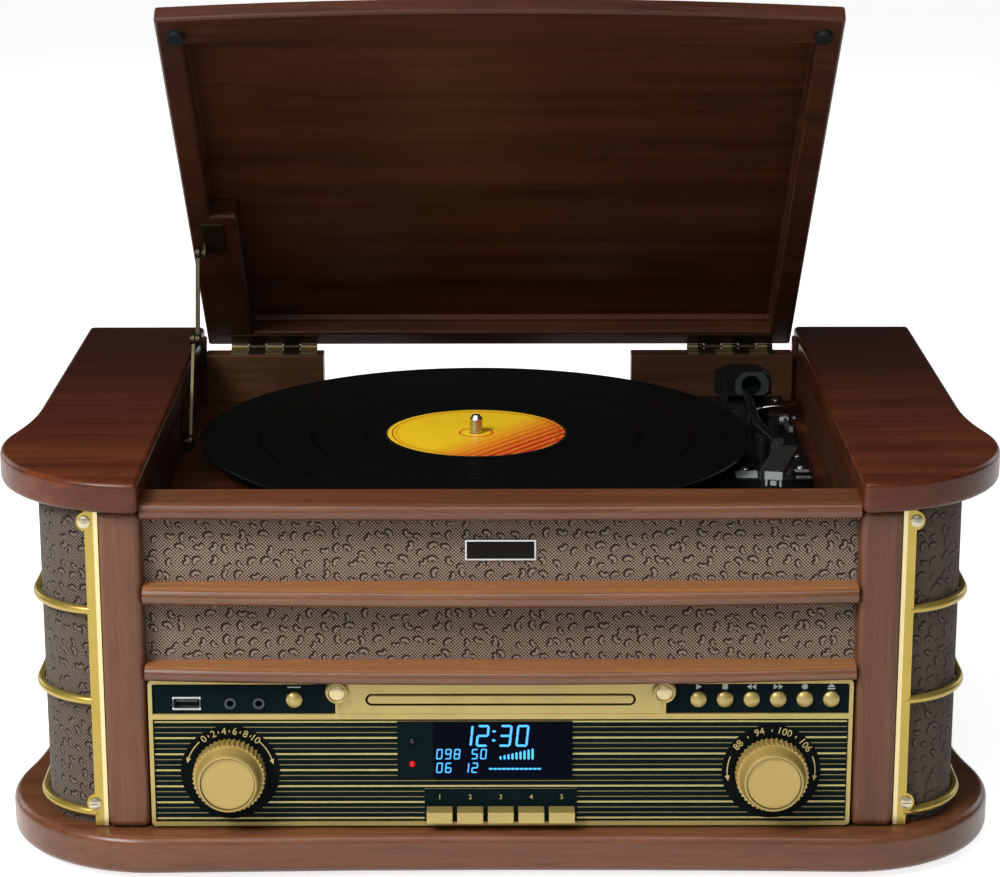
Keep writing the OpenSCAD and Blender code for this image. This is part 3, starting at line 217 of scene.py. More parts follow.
def wood(name, dark, light, grain, roughness=0.40, gloss=0.22, painted_rear_shade=0.0, painted_top_light=None):
    """Stained, lacquered veneer. grain is the axis (0, 1 or 2) along which the fibres run.
    painted_rear_shade is painted shade that makes the wood darker and redder towards the back, and
    painted_top_light is the colour of a painted highlight on up-facing faces."""
    g = Graph(name, gloss=gloss)
    wander = g.noise(g.place, 5.0, detail=2.0)
    swerve = 16 * MM
    axes = list(g.split(g.place))
    cross = [axis for axis in range(3) if axis != grain]
    for axis in cross:
        axes[axis] = g.plus(axes[axis], g.times(wander, swerve))
    bent = g.unite(*axes)

    def stretched(along, across):
        scale = [across] * 3
        scale[grain] = along
        return g.vector("MULTIPLY", bent, tuple(scale))

    bands = g.noise(stretched(2.2, 60.0), 1.0, detail=4.0, roughness=0.6)
    fibres = g.noise(stretched(16.0, 520.0), 1.0, detail=3.0, roughness=0.7)
    pores = g.noise(stretched(60.0, 1500.0), 1.0, detail=1.0)
    figure = g.plus(g.times(bands, 0.62), g.times(fibres, 0.38))
    colour = g.ramp(figure, (0.30, dark), (0.68, light))
    cloudy = g.noise(g.place, 9.0, detail=2.0)
    shade = tuple(0.72 * c for c in dark)
    colour = g.mix(g.ramp(cloudy, (0.45, 0.0), (0.75, 0.35)), colour, shade)
    open_pore = g.ramp(pores, (0.62, 0.0), (0.72, 0.5))
    colour = g.mix(open_pore, colour, shade)
    # painted shade: the wood turns darker and redder towards the back, where less light falls
    if painted_rear_shade:
        rear = g.times(g.step(g.split(g.place)[1], -20 * MM, 150 * MM), painted_rear_shade)
        colour = g.mix(rear, colour, tuple(0.5 * c for c in dark))
    # painted highlight: faces that point up are lightened towards a brighter colour, as if lit from
    # above
    if painted_top_light:
        facing = g.split(g.tree.nodes.new("ShaderNodeNewGeometry").outputs["Normal"])[2]
        tops = g.step(facing, 0.80, 0.16)
        top_light = g.times(tops, g.math("MULTIPLY_ADD", fibres, 0.5, 0.45))
        colour = g.mix(top_light, colour, painted_top_light)
    g.put("Base Color", colour)
    g.put("Roughness", g.math("MULTIPLY_ADD", fibres, 0.16, roughness - 0.08))
    g.bump(fibres, 0.06, 0.45)
    g.bump(g.times(pores, -1.0), 0.04, 0.4)
    return g.material


def cloth(name, painted_shade_tone=1.0):
    """Loudspeaker cloth: a fine diagonal weave with small bent flecks, each with a painted shadow on one
    side.
    """

    # painted shade: all colours can be scaled down, which gives darker copies of the cloth for faces
    # that get less light
    def shade_toned(*colour):
        return tuple(painted_shade_tone * c for c in colour)

    g = Graph(name, roughness=0.92, gloss=0.15)
    g.put("Sheen Weight", 0.08)
    g.put("Sheen Roughness", 0.5)
    x, y, z = g.split(g.place)

    # the cloth's own length, which runs along the front and round the corners to the sides
    wide = g.math("ABSOLUTE", x)
    dx = g.math("MAXIMUM", g.minus(wide, CORNER_X), 0.0)
    dy = g.math("MAXIMUM", g.minus(CORNER_Y, y), 0.0)
    angle = g.math("ARCTAN2", dx, g.plus(dy, 1e-6))
    side = g.times(g.math("GREATER_THAN", wide, CORNER_X),
                   g.math("MAXIMUM", g.minus(y, CORNER_Y), 0.0))
    sign = g.math("SIGN", x)
    flat_x = g.times(sign, g.math("MINIMUM", wide, CORNER_X))
    run = g.plus(flat_x, g.times(sign, g.math("MULTIPLY_ADD", angle, CORNER_R, side)))
    sheet = g.unite(run, z, 0.0)

    # flecks: one bent bean in each cell, turned at random
    cell = 6.9 * MM
    cells = g.tree.nodes.new("ShaderNodeTexVoronoi")
    cells.voronoi_dimensions = "2D"
    cells.inputs["Scale"].default_value = 1 / cell
    cells.inputs["Randomness"].default_value = 0.60
    g.join(sheet, cells.inputs["Vector"])
    local = g.vector("SUBTRACT", sheet, cells.outputs["Position"])
    hue = g.split(cells.outputs["Color"])
    spin = g.times(hue[0], 2 * math.pi)
    cos = g.math("COSINE", spin)
    sin = g.math("SINE", spin)
    size = g.math("MULTIPLY_ADD", hue[1], 0.35, 0.80)

    def bean(shift):
        """Distance from a bent stroke, negative inside it. shift moves it over the cloth."""
        lx, ly, _ = g.split(g.vector("SUBTRACT", local, (shift, -shift, 0.0)))
        bend_r, reach, half_width = 1.6 * MM, 0.95, 0.70 * MM
        ux = g.plus(g.times(lx, cos), g.times(ly, sin))
        uy = g.minus(g.times(ly, cos), g.times(lx, sin))
        px = g.plus(g.math("DIVIDE", ux, size), 0.7 * bend_r)
        py = g.math("DIVIDE", uy, size)
        turn = g.math("ARCTAN2", py, px)
        turn = g.math("MAXIMUM", g.math("MINIMUM", turn, reach), -reach)
        ex = g.minus(px, g.times(g.math("COSINE", turn), bend_r))
        ey = g.minus(py, g.times(g.math("SINE", turn), bend_r))
        return g.minus(g.length(ex, ey), half_width)

    light = g.below(bean(0.0), 0.0, 0.10 * MM)
    # painted shadow: a dark copy of each fleck, shifted to one side and drawn under it, shows as its
    # shadow
    shadow_reach, shadow_shift = 0.72 * MM, -0.34 * MM
    dark = g.below(bean(shadow_shift), shadow_reach, 0.12 * MM)

    # weave: diagonal threads that cross over and under
    pitch = 1.72 * MM
    weave = g.math("MULTIPLY_ADD", g.times(g.wave(run, pitch), g.wave(z, pitch)), 0.5, 0.5)
    slub = g.noise(sheet, 1100.0, detail=1.0)
    thread = g.plus(g.times(weave, 0.75), g.times(slub, 0.25))
    patch = g.noise(sheet, 70.0, detail=2.0)
    ground = g.ramp(thread, (0.36, shade_toned(0.008, 0.005, 0.004)), (0.64, shade_toned(0.38, 0.285, 0.225)))
    ground = g.mix(g.times(patch, 0.15), ground, shade_toned(0.085, 0.060, 0.048))
    colour = g.mix(g.times(dark, 0.92), ground, (0.010, 0.007, 0.006))
    fleck = g.mix(weave, shade_toned(0.20, 0.148, 0.118), shade_toned(0.37, 0.28, 0.225))
    colour = g.mix(g.times(light, 0.9), colour, fleck)
    g.put("Base Color", colour)
    g.bump(g.plus(g.times(weave, 0.35), light), 0.25, 0.6)
    return g.material


def metal(name, colour, roughness=0.3, wear=0.12, brushed=None, metallic=1.0):
    """Plated or coated metal with faint cloudiness and, where brushed, fine lines along an axis."""
    g = Graph(name, metallic=metallic, roughness=roughness)
    cloudy = g.noise(g.place, 45.0, detail=4.0)
    dull = tuple(c * (1 - wear) * 0.9 for c in colour)
    g.put("Base Color", g.mix(g.ramp(cloudy, (0.40, 0.0), (0.75, 1.0)), colour, dull))
    scale = [900.0] * 3
    if brushed is not None:
        scale = [2600.0] * 3
        scale[brushed] = 25.0
    fine = g.noise(g.vector("MULTIPLY", g.place, tuple(scale)), 1.0, detail=2.0)
    spread = g.math("MULTIPLY_ADD", fine, 0.16, roughness - 0.08)
    g.put("Roughness", g.plus(spread, g.times(cloudy, 0.08)))
    g.bump(fine, 0.02, 0.35)
    return g.material


def plastic(name, colour, roughness=0.35, grain=0.03, gloss=0.25):
    """Moulded plastic with a fine spark-eroded grain and small differences in gloss."""
    g = Graph(name, roughness=roughness, gloss=gloss)
    fine = g.noise(g.place, 2600.0, detail=2.0)
    cloudy = g.noise(g.place, 30.0, detail=3.0)
    pale = tuple(min(1.0, c * 1.35 + 0.002) for c in colour)
    g.put("Base Color", g.mix(g.times(cloudy, 0.6), colour, pale))
    g.put("Roughness", g.math("MULTIPLY_ADD", cloudy, 0.14, roughness - 0.07))
    g.bump(fine, grain, 0.5)
    return g.material


def panel_lacquer(name):
    """Black-green lacquer whose raised lines carry gilt foil."""
    g = Graph(name, roughness=0.16, gloss=0.02)
    _, y, z = g.split(g.place)
    foil = g.between(y, PANEL_Y - 0.50 * MM, PANEL_Y - 0.12 * MM, 0.05 * MM)
    cloudy = g.noise(g.place, 700.0, detail=2.0)
    ground = g.mix(g.times(cloudy, 0.5), (0.0018, 0.0072, 0.0080), (0.0028, 0.0105, 0.0115))
    gold = g.mix(cloudy, (0.34, 0.27, 0.105), (0.50, 0.42, 0.19))
    third = g.math("DIVIDE", g.minus(z, LINES_Z - LINE_PITCH / 2), 3 * LINE_PITCH)
    thin = g.step(g.math("FRACT", third), 1 / 3, 0.02)
    gold = g.mix(g.times(thin, 0.62), gold, (0.05, 0.045, 0.022))
    g.put("Base Color", g.mix(foil, ground, gold))
    g.put("Metallic", g.times(foil, 0.35))
    g.put("Roughness", g.math("MULTIPLY_ADD", foil, 0.22, 0.14))
    g.bump(cloudy, 0.01, 0.2)
    return g.material


def from_spindle(g):
    """Place relative to the spindle's foot, and the distance from its axis."""
    local = g.vector("SUBTRACT", g.place, (SPINDLE.x, SPINDLE.y, 0.0))
    return local, g.vector("LENGTH", g.vector("MULTIPLY", local, (1.0, 1.0, 0.0)))


def vinyl(name):
    """Record: fine grooves round the spindle with smooth rings between the tracks."""
    g = Graph(name, roughness=0.34, gloss=0.12)
    _, radius = from_spindle(g)
    ring = g.unite(radius, 0.0, 0.0)
    tracks = g.noise(ring, 95.0, detail=1.0)
    loud = g.noise(ring, 900.0, detail=3.0)
    groove_pitch = 0.42 * MM
    groove = g.wave(radius, groove_pitch)
    smooth = g.ramp(tracks, (0.60, 0.0), (0.63, 1.0))
    grooved = g.mix(loud, (0.0008, 0.0017, 0.0016), (0.0026, 0.0040, 0.0038))
    g.put("Base Color", g.mix(smooth, grooved, (0.0012, 0.0020, 0.0020)))
    g.put("Roughness", g.mix(smooth, g.ramp(loud, (0.3, 0.30), (0.7, 0.44)), (0.20, 0.20, 0.20)))
    g.bump(g.plus(groove, g.times(loud, 0.8)), 0.03, 0.4)
    return g.material


def label_paper(name):
    """Printed label: a yellow ground, a slanting orange and red field, and thin rings."""
    g = Graph(name, roughness=0.45, gloss=0.2)
    local, radius = from_spindle(g)
    x, y, _ = g.split(local)
    yellow = g.mix(g.noise(g.place, 30.0), (0.86, 0.60, 0.020), (0.78, 0.48, 0.012))
    tilt = g.plus(g.times(x, 0.8), g.times(y, -0.6))
    sweep = g.step(tilt, 0.010, 0.014)
    red = g.mix(g.step(tilt, 0.026, 0.012), (0.74, 0.20, 0.012), (0.52, 0.030, 0.010))
    stripes = g.wave(tilt, 5.2 * MM)
    banded = g.mix(g.times(g.step(stripes, 0.35, 0.25), 0.45), red, (0.82, 0.42, 0.02))
    colour = g.mix(sweep, yellow, banded)
    for inner, outer, tint in ((8.5, 9.6, (0.52, 0.05, 0.01)), (45.6, 46.4, (0.45, 0.06, 0.01)),
                               (43.6, 44.0, (0.55, 0.12, 0.01)), (48.7, 60.0, (0.02, 0.016, 0.014))):
        colour = g.mix(g.between(radius, inner * MM, outer * MM, 0.1 * MM), colour, tint)
    g.put("Base Color", colour)
    g.bump(g.noise(g.place, 1800.0), 0.02, 0.3)
    return g.material


def glow(name, colour, strength):
    """Lit figures of the display, with a faint grain."""
    g = Graph(name, roughness=0.4)
    dots = g.noise(g.place, 2500.0, detail=1.0)
    g.put("Base Color", g.mix(dots, colour, tuple(0.8 * c for c in colour)))
    g.put("Emission Color", colour)
    g.put("Emission Strength", strength)
    return g.material


def by_place(name, axis, edge, below, above, roughness, metallic=(0.0, 0.0), ribs=None,
             soft=0.2 * MM, gloss=0.3):
    """Two finishes on one piece, parted by a plane across an axis. ribs holds the direction and the
    pitch of ribs below the plane, and their depth in millimetres; the grooves between the ribs are
    darkened as painted shade."""
    g = Graph(name, roughness=roughness, gloss=gloss)
    value = g.split(g.place)[axis]
    part = g.step(value, edge, soft)
    fine = g.noise(g.place, 1800.0, detail=2.0)
    cloudy = g.noise(g.place, 60.0, detail=3.0)
    first = g.mix(cloudy, below, tuple(0.75 * c for c in below))
    second = g.mix(cloudy, above, tuple(0.75 * c for c in above))
    if ribs:
        direction, pitch, depth = ribs
        wave = g.wave(g.vector("DOT_PRODUCT", g.place, direction), pitch)
        # painted shade: the grooves between the ribs are darkened
        groove = g.step(wave, 0.25, 0.35)
        first = g.mix(groove, first, tuple(0.2 * c for c in below))
    g.put("Base Color", g.mix(part, first, second))
    g.put("Metallic", g.math("MULTIPLY_ADD", part, metallic[1] - metallic[0], metallic[0]))
    g.put("Roughness", g.math("MULTIPLY_ADD", cloudy, 0.15, roughness - 0.07))
    g.bump(fine, 0.02, 0.4)
    if ribs:
        g.bump(g.times(wave, g.minus(1.0, part)), depth, 0.8)
    return g.material


def brass_bars(name):
    """Brass: a painted highlight in pale brass on the front face beside the posts, and a darker yellow
    everywhere else.
    """
    g = Graph(name, metallic=0.7, roughness=0.34)
    x, y, _ = g.split(g.place)
    beside_posts = g.below(g.math("ABSOLUTE", x), high("front_posts").x + 2.4 * MM, 0.15 * MM)
    front_face = g.below(y, low("front_posts").y + 4.0 * MM, 0.3 * MM)
    # painted highlight: a pale strip on the front face beside the posts
    pale = g.times(beside_posts, front_face)
    cloudy = g.noise(g.place, 40.0, detail=3.0)
    yellow = g.mix(cloudy, (0.42, 0.31, 0.065), (0.33, 0.24, 0.05))
    g.put("Base Color", g.mix(pale, yellow, (0.66, 0.55, 0.29)))
    fine = g.noise(g.place, 900.0, detail=2.0)
    g.put("Roughness", g.math("MULTIPLY_ADD", fine, 0.16, 0.24))
    g.bump(fine, 0.02, 0.3)
    return g.material


def knob_finish(name):
    """Gilt knob: spun face with a thin dark ring near its rim."""
    g = Graph(name, metallic=0.35, roughness=0.34)
    x, y, z = g.split(g.place)
    flat = g.minus(g.math("ABSOLUTE", x), middle("tuning_knob").x)
    radius = g.length(flat, g.minus(z, middle("tuning_knob").z))
    face = g.below(y, low("tuning_knob").y + 1.2 * MM, 0.2 * MM)
    ring = g.between(radius, 13.15 * MM, 13.75 * MM, 0.12 * MM)
    cloudy = g.noise(g.place, 38.0, detail=3.0)
    colour = g.mix(cloudy, (0.43, 0.315, 0.098), (0.34, 0.245, 0.068))
    g.put("Base Color", g.mix(g.times(face, g.times(ring, 0.9)), colour, (0.05, 0.032, 0.012)))
    spun = g.noise(g.unite(radius, 0.0, 0.0), 5200.0, detail=2.0)
    g.put("Roughness", g.math("MULTIPLY_ADD", spun, 0.18, 0.27))
    g.bump(spun, 0.02, 0.4)
    return g.material


def hinge_finish(name):
    """Bronze hinges whose knuckles are brass, with a near-black band of painted shade after each one."""
    g = Graph(name, metallic=0.8, roughness=0.38)
    first_knuckle, knuckle_pair, last_knuckle = 107.2 * MM, 20.6 * MM, 164.0 * MM
    wide = g.math("ABSOLUTE", g.split(g.place)[0])
    band = g.math("FRACT", g.math("DIVIDE", g.minus(wide, first_knuckle), knuckle_pair))
    lit = g.times(g.below(band, 0.52, 0.01), g.math("LESS_THAN", wide, last_knuckle))
    cloudy = g.noise(g.place, 300.0, detail=3.0)
    brass = g.mix(cloudy, (0.26, 0.21, 0.10), (0.17, 0.135, 0.065))
    # painted shade: every other band along the hinge is near-black, for the shade between the knuckles
    g.put("Base Color", g.mix(lit, (0.030, 0.024, 0.015), brass))
    g.bump(cloudy, 0.02, 0.3)
    return g.material


def socket_finish(name):
    """USB shell with bright bars above and below its black mouth, and dark jack bushings."""
    g = Graph(name, roughness=0.3, gloss=0.3)
    x, _, z = g.split(g.place)
    off = g.math("ABSOLUTE", g.minus(z, middle("front_sockets").z))
    right_of_usb = -145 * MM
    usb = g.below(x, right_of_usb, 1.0 * MM)
    bars = g.times(usb, g.step(off, 2.1 * MM, 0.12 * MM))
    grain = g.noise(g.place, 600.0, detail=2.0)
    dark = g.mix(grain, (0.026, 0.034, 0.036), (0.044, 0.056, 0.060))
    g.put("Base Color", g.mix(bars, dark, (0.42, 0.43, 0.42)))
    g.put("Metallic", g.math("MULTIPLY_ADD", bars, 0.6, 0.3))
    g.put("Roughness", g.math("MULTIPLY_ADD", grain, 0.2, 0.22))
    g.bump(grain, 0.02, 0.3)
    return g.material


# ------------------------------------------------------------------ pieces

def dress(material, *names):
    for name in names:
        for material_slot in NODES[name].material_slots:
            material_slot.material = material


def rounded(name, width):
    """Rounds a node's sharp edges, as a router and sandpaper leave them."""
    node = NODES[name]
    weld = node.modifiers.new("weld", "WELD")
    weld.merge_threshold = 0.02 * MM
    flat = node.modifiers.new("flat", "DECIMATE")
    flat.decimate_type = "DISSOLVE"
    flat.angle_limit = math.radians(0.6)
    edge = node.modifiers.new("edge", "BEVEL")
    edge.width = width
    edge.segments = 4
    edge.limit_method = "ANGLE"
    edge.angle_limit = math.radians(40)
    edge.use_clamp_overlap = True
    edge.harden_normals = False
    shade = node.modifiers.new("shade", "WEIGHTED_NORMAL")
    shade.keep_sharp = False


def add_object(name, data):
    """A new object in the scene."""
    made = bpy.data.objects.new(name, data)
    bpy.context.scene.collection.objects.link(made)
    return made


def finish_piece(name, body, material, bm, smooth=False):
    """Turns a bmesh into a piece that rides on a body."""
    bmesh.ops.recalc_face_normals(bm, faces=bm.faces)
    mesh = bpy.data.meshes.new(name)
    bm.to_mesh(mesh)
    bm.free()
    for polygon in mesh.polygons:
        polygon.use_smooth = smooth
    piece = add_object(name, mesh)
    mesh.materials.append(material)
    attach(piece, body)


def prism(bm, outline, y, thickness):
    """A flat outline in X and Z, extruded from y towards the front."""
    back = [bm.verts.new((px, y, pz)) for px, pz in outline]
    front = [bm.verts.new((px, y - thickness, pz)) for px, pz in outline]
    count = len(back)
    bm.faces.new(back)
    bm.faces.new(front)
    for i in range(count):
        bm.faces.new((back[i], back[(i + 1) % count], front[(i + 1) % count], front[i]))


def bar(bm, start, end, width, y, thickness):
    """A straight stroke with pointed ends between two points."""
    start, end = Vector(start), Vector(end)
    along = (end - start).normalized() * width / 2
    across = Vector((-along.y, along.x))
    prism(bm, [start - along, start + across, end + across, end + along, end - across, start - across],
          y, thickness)


def on_circle(centre, radius, degrees):
    """A point on a circle, with the angle from the top and clockwise as seen from the front."""
    angle = math.radians(degrees)
    return (centre[0] + radius * math.sin(angle), centre[1] + radius * math.cos(angle))


def arc_points(centre, radius, start, end, count):
    return [on_circle(centre, radius, start + (end - start) * i / count) for i in range(count + 1)]


def arc_band(bm, centre, radius, width, start, end, y, thickness):
    """A flat band along a circle between two angles."""
    outer = arc_points(centre, radius + width / 2, start, end, 14)
    inner = arc_points(centre, radius - width / 2, end, start, 14)
    prism(bm, outer + inner, y, thickness)


def numeral(bm, text, centre, size, turn, y, thickness):
    """A plain number, centred at a point of the front, turned clockwise by an angle in degrees."""
    curve = bpy.data.curves.new("number", "FONT")
    curve.body = text
    curve.size = size
    curve.align_x = "CENTER"
    curve.align_y = "CENTER"
    curve.extrude = thickness / 2
    curve.resolution_u = 3
    carrier = add_object("number", curve)
    bpy.context.view_layer.update()
    graph = bpy.context.evaluated_depsgraph_get()
    mesh = bpy.data.meshes.new_from_object(carrier.evaluated_get(graph))
    upright = Matrix.Rotation(math.pi / 2, 4, "X")
    spin = Matrix.Rotation(math.radians(turn), 4, "Y")
    move = Matrix.Translation((centre[0], y - thickness / 2, centre[1]))
    mesh.transform(move @ spin @ upright)
    bm.from_mesh(mesh)
    bpy.data.objects.remove(carrier)
    bpy.data.curves.remove(curve)
    bpy.data.meshes.remove(mesh)


def block(bm, lo, hi, turn=None):
    """A box between two corners, with turn as a matrix that is put on afterwards."""
    made = bmesh.ops.create_cube(bm, size=1.0)["verts"]
    lo, hi = Vector(lo), Vector(hi)
    bmesh.ops.scale(bm, vec=hi - lo, verts=made)
    bmesh.ops.translate(bm, vec=(lo + hi) / 2, verts=made)
    if turn:
        bmesh.ops.transform(bm, matrix=turn, verts=made)
    return made


def lathe(bm, profile, matrix, sides=48):
    """Turns a profile of (radius, height) points, in millimetres, about Z and then places it with a
    matrix."""
    rings = []
    for radius, height in mm(profile):
        angles = [2 * math.pi * i / sides for i in range(sides)] if radius else [0.0]
        rings.append([bm.verts.new(matrix @ Vector((radius * math.cos(angle),
                                                    radius * math.sin(angle), height)))
                      for angle in angles])
    for a, b in zip(rings, rings[1:]):
        for i in range(sides):
            j = (i + 1) % sides
            if len(a) == 1 and len(b) == 1:
                continue
            if len(a) == 1:
                bm.faces.new((a[0], b[i], b[j]))
            elif len(b) == 1:
                bm.faces.new((a[i], a[j], b[0]))
            else:
                bm.faces.new((a[i], a[j], b[j], b[i]))


def tube(bm, points, radius, sides=10):
    """A round wire along points, closed at both ends."""
    rings = []
    for i, point in enumerate(points):
        ahead = points[min(i + 1, len(points) - 1)] - points[max(i - 1, 0)]
        across = ahead.orthogonal().normalized() if i == 0 else \
            (side - ahead.normalized() * side.dot(ahead.normalized())).normalized()
        side = across
        up = ahead.normalized().cross(across)
        rings.append([bm.verts.new(point + radius * (math.cos(2 * math.pi * k / sides) * across
                                                     + math.sin(2 * math.pi * k / sides) * up))
                      for k in range(sides)])
    for a, b in zip(rings, rings[1:]):
        for k in range(sides):
            bm.faces.new((a[k], a[(k + 1) % sides], b[(k + 1) % sides], b[k]))
    bm.faces.new(rings[0])
    bm.faces.new(rings[-1])


def soften(bm, made, width):
    """Bevels all edges of a block."""
    edges = list({e for v in made for e in v.link_edges})
    bmesh.ops.bevel(bm, geom=edges, offset=width, segments=2, affect="EDGES")


RIGHT = Matrix.Rotation(math.pi / 2, 4, "Y")
FRONTWARD = Matrix.Rotation(math.pi / 2, 4, "X")
BACKWARD = Matrix.Rotation(-math.pi / 2, 4, "X")


def at(x, y, z, turn=None):
    """Matrix for a place in millimetres, with an optional turn about it."""
    place = Matrix.Translation(Vector((x, y, z)) * MM)
    return place @ turn if turn else place


def screw(bm, place, radius, height):
    """A raised head with a cross on top, in millimetres. place maps its axis from Z."""
    head = [(0.0, height), (0.45 * radius, height * 0.96), (0.8 * radius, height * 0.7),
            (radius, 0.1 * height), (radius, -0.2 * height)]
    lathe(bm, head, place, sides=24)
    for turn in (0.4, 0.4 + math.pi / 2):
        block(bm, *mm(((-0.6 * radius, -0.1 * radius, height * 0.9),
                       (0.6 * radius, 0.1 * radius, height * 1.12))),
              place @ Matrix.Rotation(turn, 4, "Z"))


# ------------------------------------------------------------------ finishes of the CAD nodes

# top_wood carries painted shade that darkens it towards the back
top_wood = wood("top_wood", (0.040, 0.0062, 0.0024), (0.165, 0.040, 0.012), grain=0,
                roughness=0.32, gloss=0.26, painted_rear_shade=0.90)
wall_wood = wood("wall_wood", (0.022, 0.0075, 0.0040), (0.076, 0.027, 0.013), grain=1)
plinth_wood = wood("plinth_wood", (0.070, 0.022, 0.010), (0.180, 0.066, 0.028), grain=0,
                   roughness=0.30, gloss=0.36)
post_wood = wood("post_wood", (0.075, 0.025, 0.011), (0.175, 0.066, 0.030), grain=2,
                 roughness=0.27, gloss=0.30)
# rail_wood carries a painted highlight on its up-facing faces
rail_wood = wood("rail_wood", (0.085, 0.030, 0.012), (0.200, 0.078, 0.030), grain=0,
                 roughness=0.26, gloss=0.50, painted_top_light=(0.33, 0.140, 0.048))
front_wood = wood("front_wood", (0.085, 0.028, 0.012), (0.200, 0.076, 0.032), grain=0,
                  roughness=0.27, gloss=0.42)
lid_wood = wood("lid_wood", (0.026, 0.0072, 0.0040), (0.108, 0.033, 0.015), grain=0)
frame_wood = wood("frame_wood", (0.024, 0.0064, 0.0034), (0.086, 0.027, 0.012), grain=0)
block_wood = wood("block_wood", (0.026, 0.0100, 0.0045), (0.080, 0.034, 0.014), grain=0)
back_wood = wood("back_wood", (0.030, 0.014, 0.010), (0.070, 0.034, 0.022), grain=0, roughness=0.6)
front_cloth = cloth("front_cloth")
# the side cloth is the same cloth darkened as painted shade, since the sides get less light
shaded_side_cloth = cloth("shaded_side_cloth", painted_shade_tone=0.52)
gilt = metal("gilt", (0.40, 0.310, 0.105), roughness=0.34, wear=0.05, metallic=0.45)
bronze = metal("bronze", (0.085, 0.070, 0.042), roughness=0.34, wear=0.45)
pale_brass = metal("pale_brass", (0.50, 0.46, 0.33), roughness=0.24, wear=0.2, metallic=0.8)
silver = metal("silver", (0.62, 0.63, 0.64), roughness=0.28)
dull_silver = metal("dull_silver", (0.22, 0.23, 0.23), roughness=0.36)
steel = metal("steel", (0.56, 0.57, 0.58), roughness=0.25, brushed=2)
pearl = metal("pearl", (0.52, 0.43, 0.23), roughness=0.30, wear=0.05, metallic=0.75)
black = plastic("black_plastic", (0.0032, 0.0042, 0.0042), roughness=0.40)
# near-black plastic for painted shade in openings
mouth_shade_black = plastic("mouth_shade_black", (0.0008, 0.0010, 0.0010), roughness=0.6, gloss=0.02)
grey_plastic = plastic("grey_plastic", (0.020, 0.024, 0.026), roughness=0.34)
satin_black = plastic("satin_black", (0.0030, 0.0045, 0.0045), roughness=0.30, grain=0.01,
                      gloss=0.12)
dial_black = plastic("dial_black", (0.0022, 0.0032, 0.0034), roughness=0.34, grain=0.01,
                     gloss=0.02)
rubber = plastic("rubber", (0.008, 0.010, 0.010), roughness=0.72, grain=0.06)
lacquer = panel_lacquer("panel_lacquer")
window = plastic("window", (0.0006, 0.0012, 0.0058), roughness=0.10, grain=0.002,
                 gloss=0.015)
laminate = plastic("laminate", (0.010, 0.090, 0.030), roughness=0.45)
silver_paint = plastic("silver_paint", (0.24, 0.27, 0.27), roughness=0.32)
white_ink = plastic("white_ink", (0.42, 0.44, 0.42), roughness=0.5)
gold_ink = plastic("gold_ink", (0.42, 0.34, 0.14), roughness=0.45)
segment_glow = glow("segment_glow", (0.045, 0.33, 0.85), 1.0)

dress(top_wood, "wing_tops")
dress(block_wood, "hinge_blocks")
dress(frame_wood, "lid_frame", "deck_board")
dress(wall_wood, "side_walls")
dress(plinth_wood, "plinth")
dress(post_wood, "front_posts")
dress(rail_wood, "grille_rails")
dress(front_wood, "top_rail")
dress(lid_wood, "lid_panel")
dress(back_wood, "back_panel")
dress(front_cloth, "front_grille")
dress(shaded_side_cloth, "side_grilles")
dress(brass_bars("brass_bars"), "brass_trims")
dress(gilt, "panel_frame", "tray_door", "disc_tray", *KEYS, *BUTTONS)
dress(knob_finish("knob_finish"), "volume_knob", "tuning_knob")
dress(hinge_finish("hinge_finish"), "hinge_leaves")
dress(bronze, "stay_arm", "stay_rod")
dress(dull_silver, "cue_lever", "speed_switch")
dress(pale_brass, "brass_screws")
dress(steel, "drive_motor", "power_transformer", "motor_pulley")
dress(socket_finish("socket_finish"), "front_sockets")
dress(black, "rear_sockets", "disc_loader", "tonearm_base", "tonearm_yoke", "speakers")
dress(satin_black, "turntable_chassis")
dress(dial_black, "knob_dials")
dress(rubber, "rubber_feet", "drive_belt")
dress(lacquer, "panel_face")
dress(window, "display_window")
dress(laminate, "circuit_boards")
dress(vinyl("vinyl"), "record")
dress(by_place("badge", 1, low("badge_plate").y + 0.2 * MM, (0.52, 0.53, 0.52), (0.010, 0.008, 0.007),
               0.3, metallic=(1.0, 0.0), soft=0.04 * MM, gloss=0.05), "badge_plate")
dress(by_place("lamps", 2, middle("panel_lamps").z, (0.60, 0.006, 0.012), (0.006, 0.007, 0.009), 0.12),
      "panel_lamps")
dress(by_place("lid_brass", 2, 320 * MM, (0.055, 0.045, 0.026), (0.004, 0.008, 0.007), 0.42,
               metallic=(0.8, 0.0)), "lid_fittings")
dress(by_place("arm_black", 1, -34 * MM, (0.034, 0.036, 0.036), (0.0040, 0.0046, 0.0046), 0.34,
               ribs=((0.97, 0.24, 0.0), 1.9 * MM, 0.3)), "tonearm")
dress(by_place("stylus", 0, high("cartridge").x - 3.2 * MM, (0.010, 0.010, 0.012),
               (0.42, 0.006, 0.012), 0.25), "cartridge")
dress(metal("spindle_steel", (0.55, 0.55, 0.56), roughness=0.22), "platter")

# width of the rounded edges in millimetres
for node_name, width in (("wing_tops", 3.0), ("plinth", 4.5), ("front_posts", 4.4), ("top_rail", 0.8),
                         ("lid_frame", 1.8), ("lid_panel", 1.5), ("hinge_blocks", 0.8),
                         ("disc_tray", 0.5), ("tonearm", 0.5), ("tonearm_base", 0.4)):
    rounded(node_name, width * MM)
for node_name in KEYS:
    rounded(node_name, 0.9 * MM)


# ------------------------------------------------------------------ record label

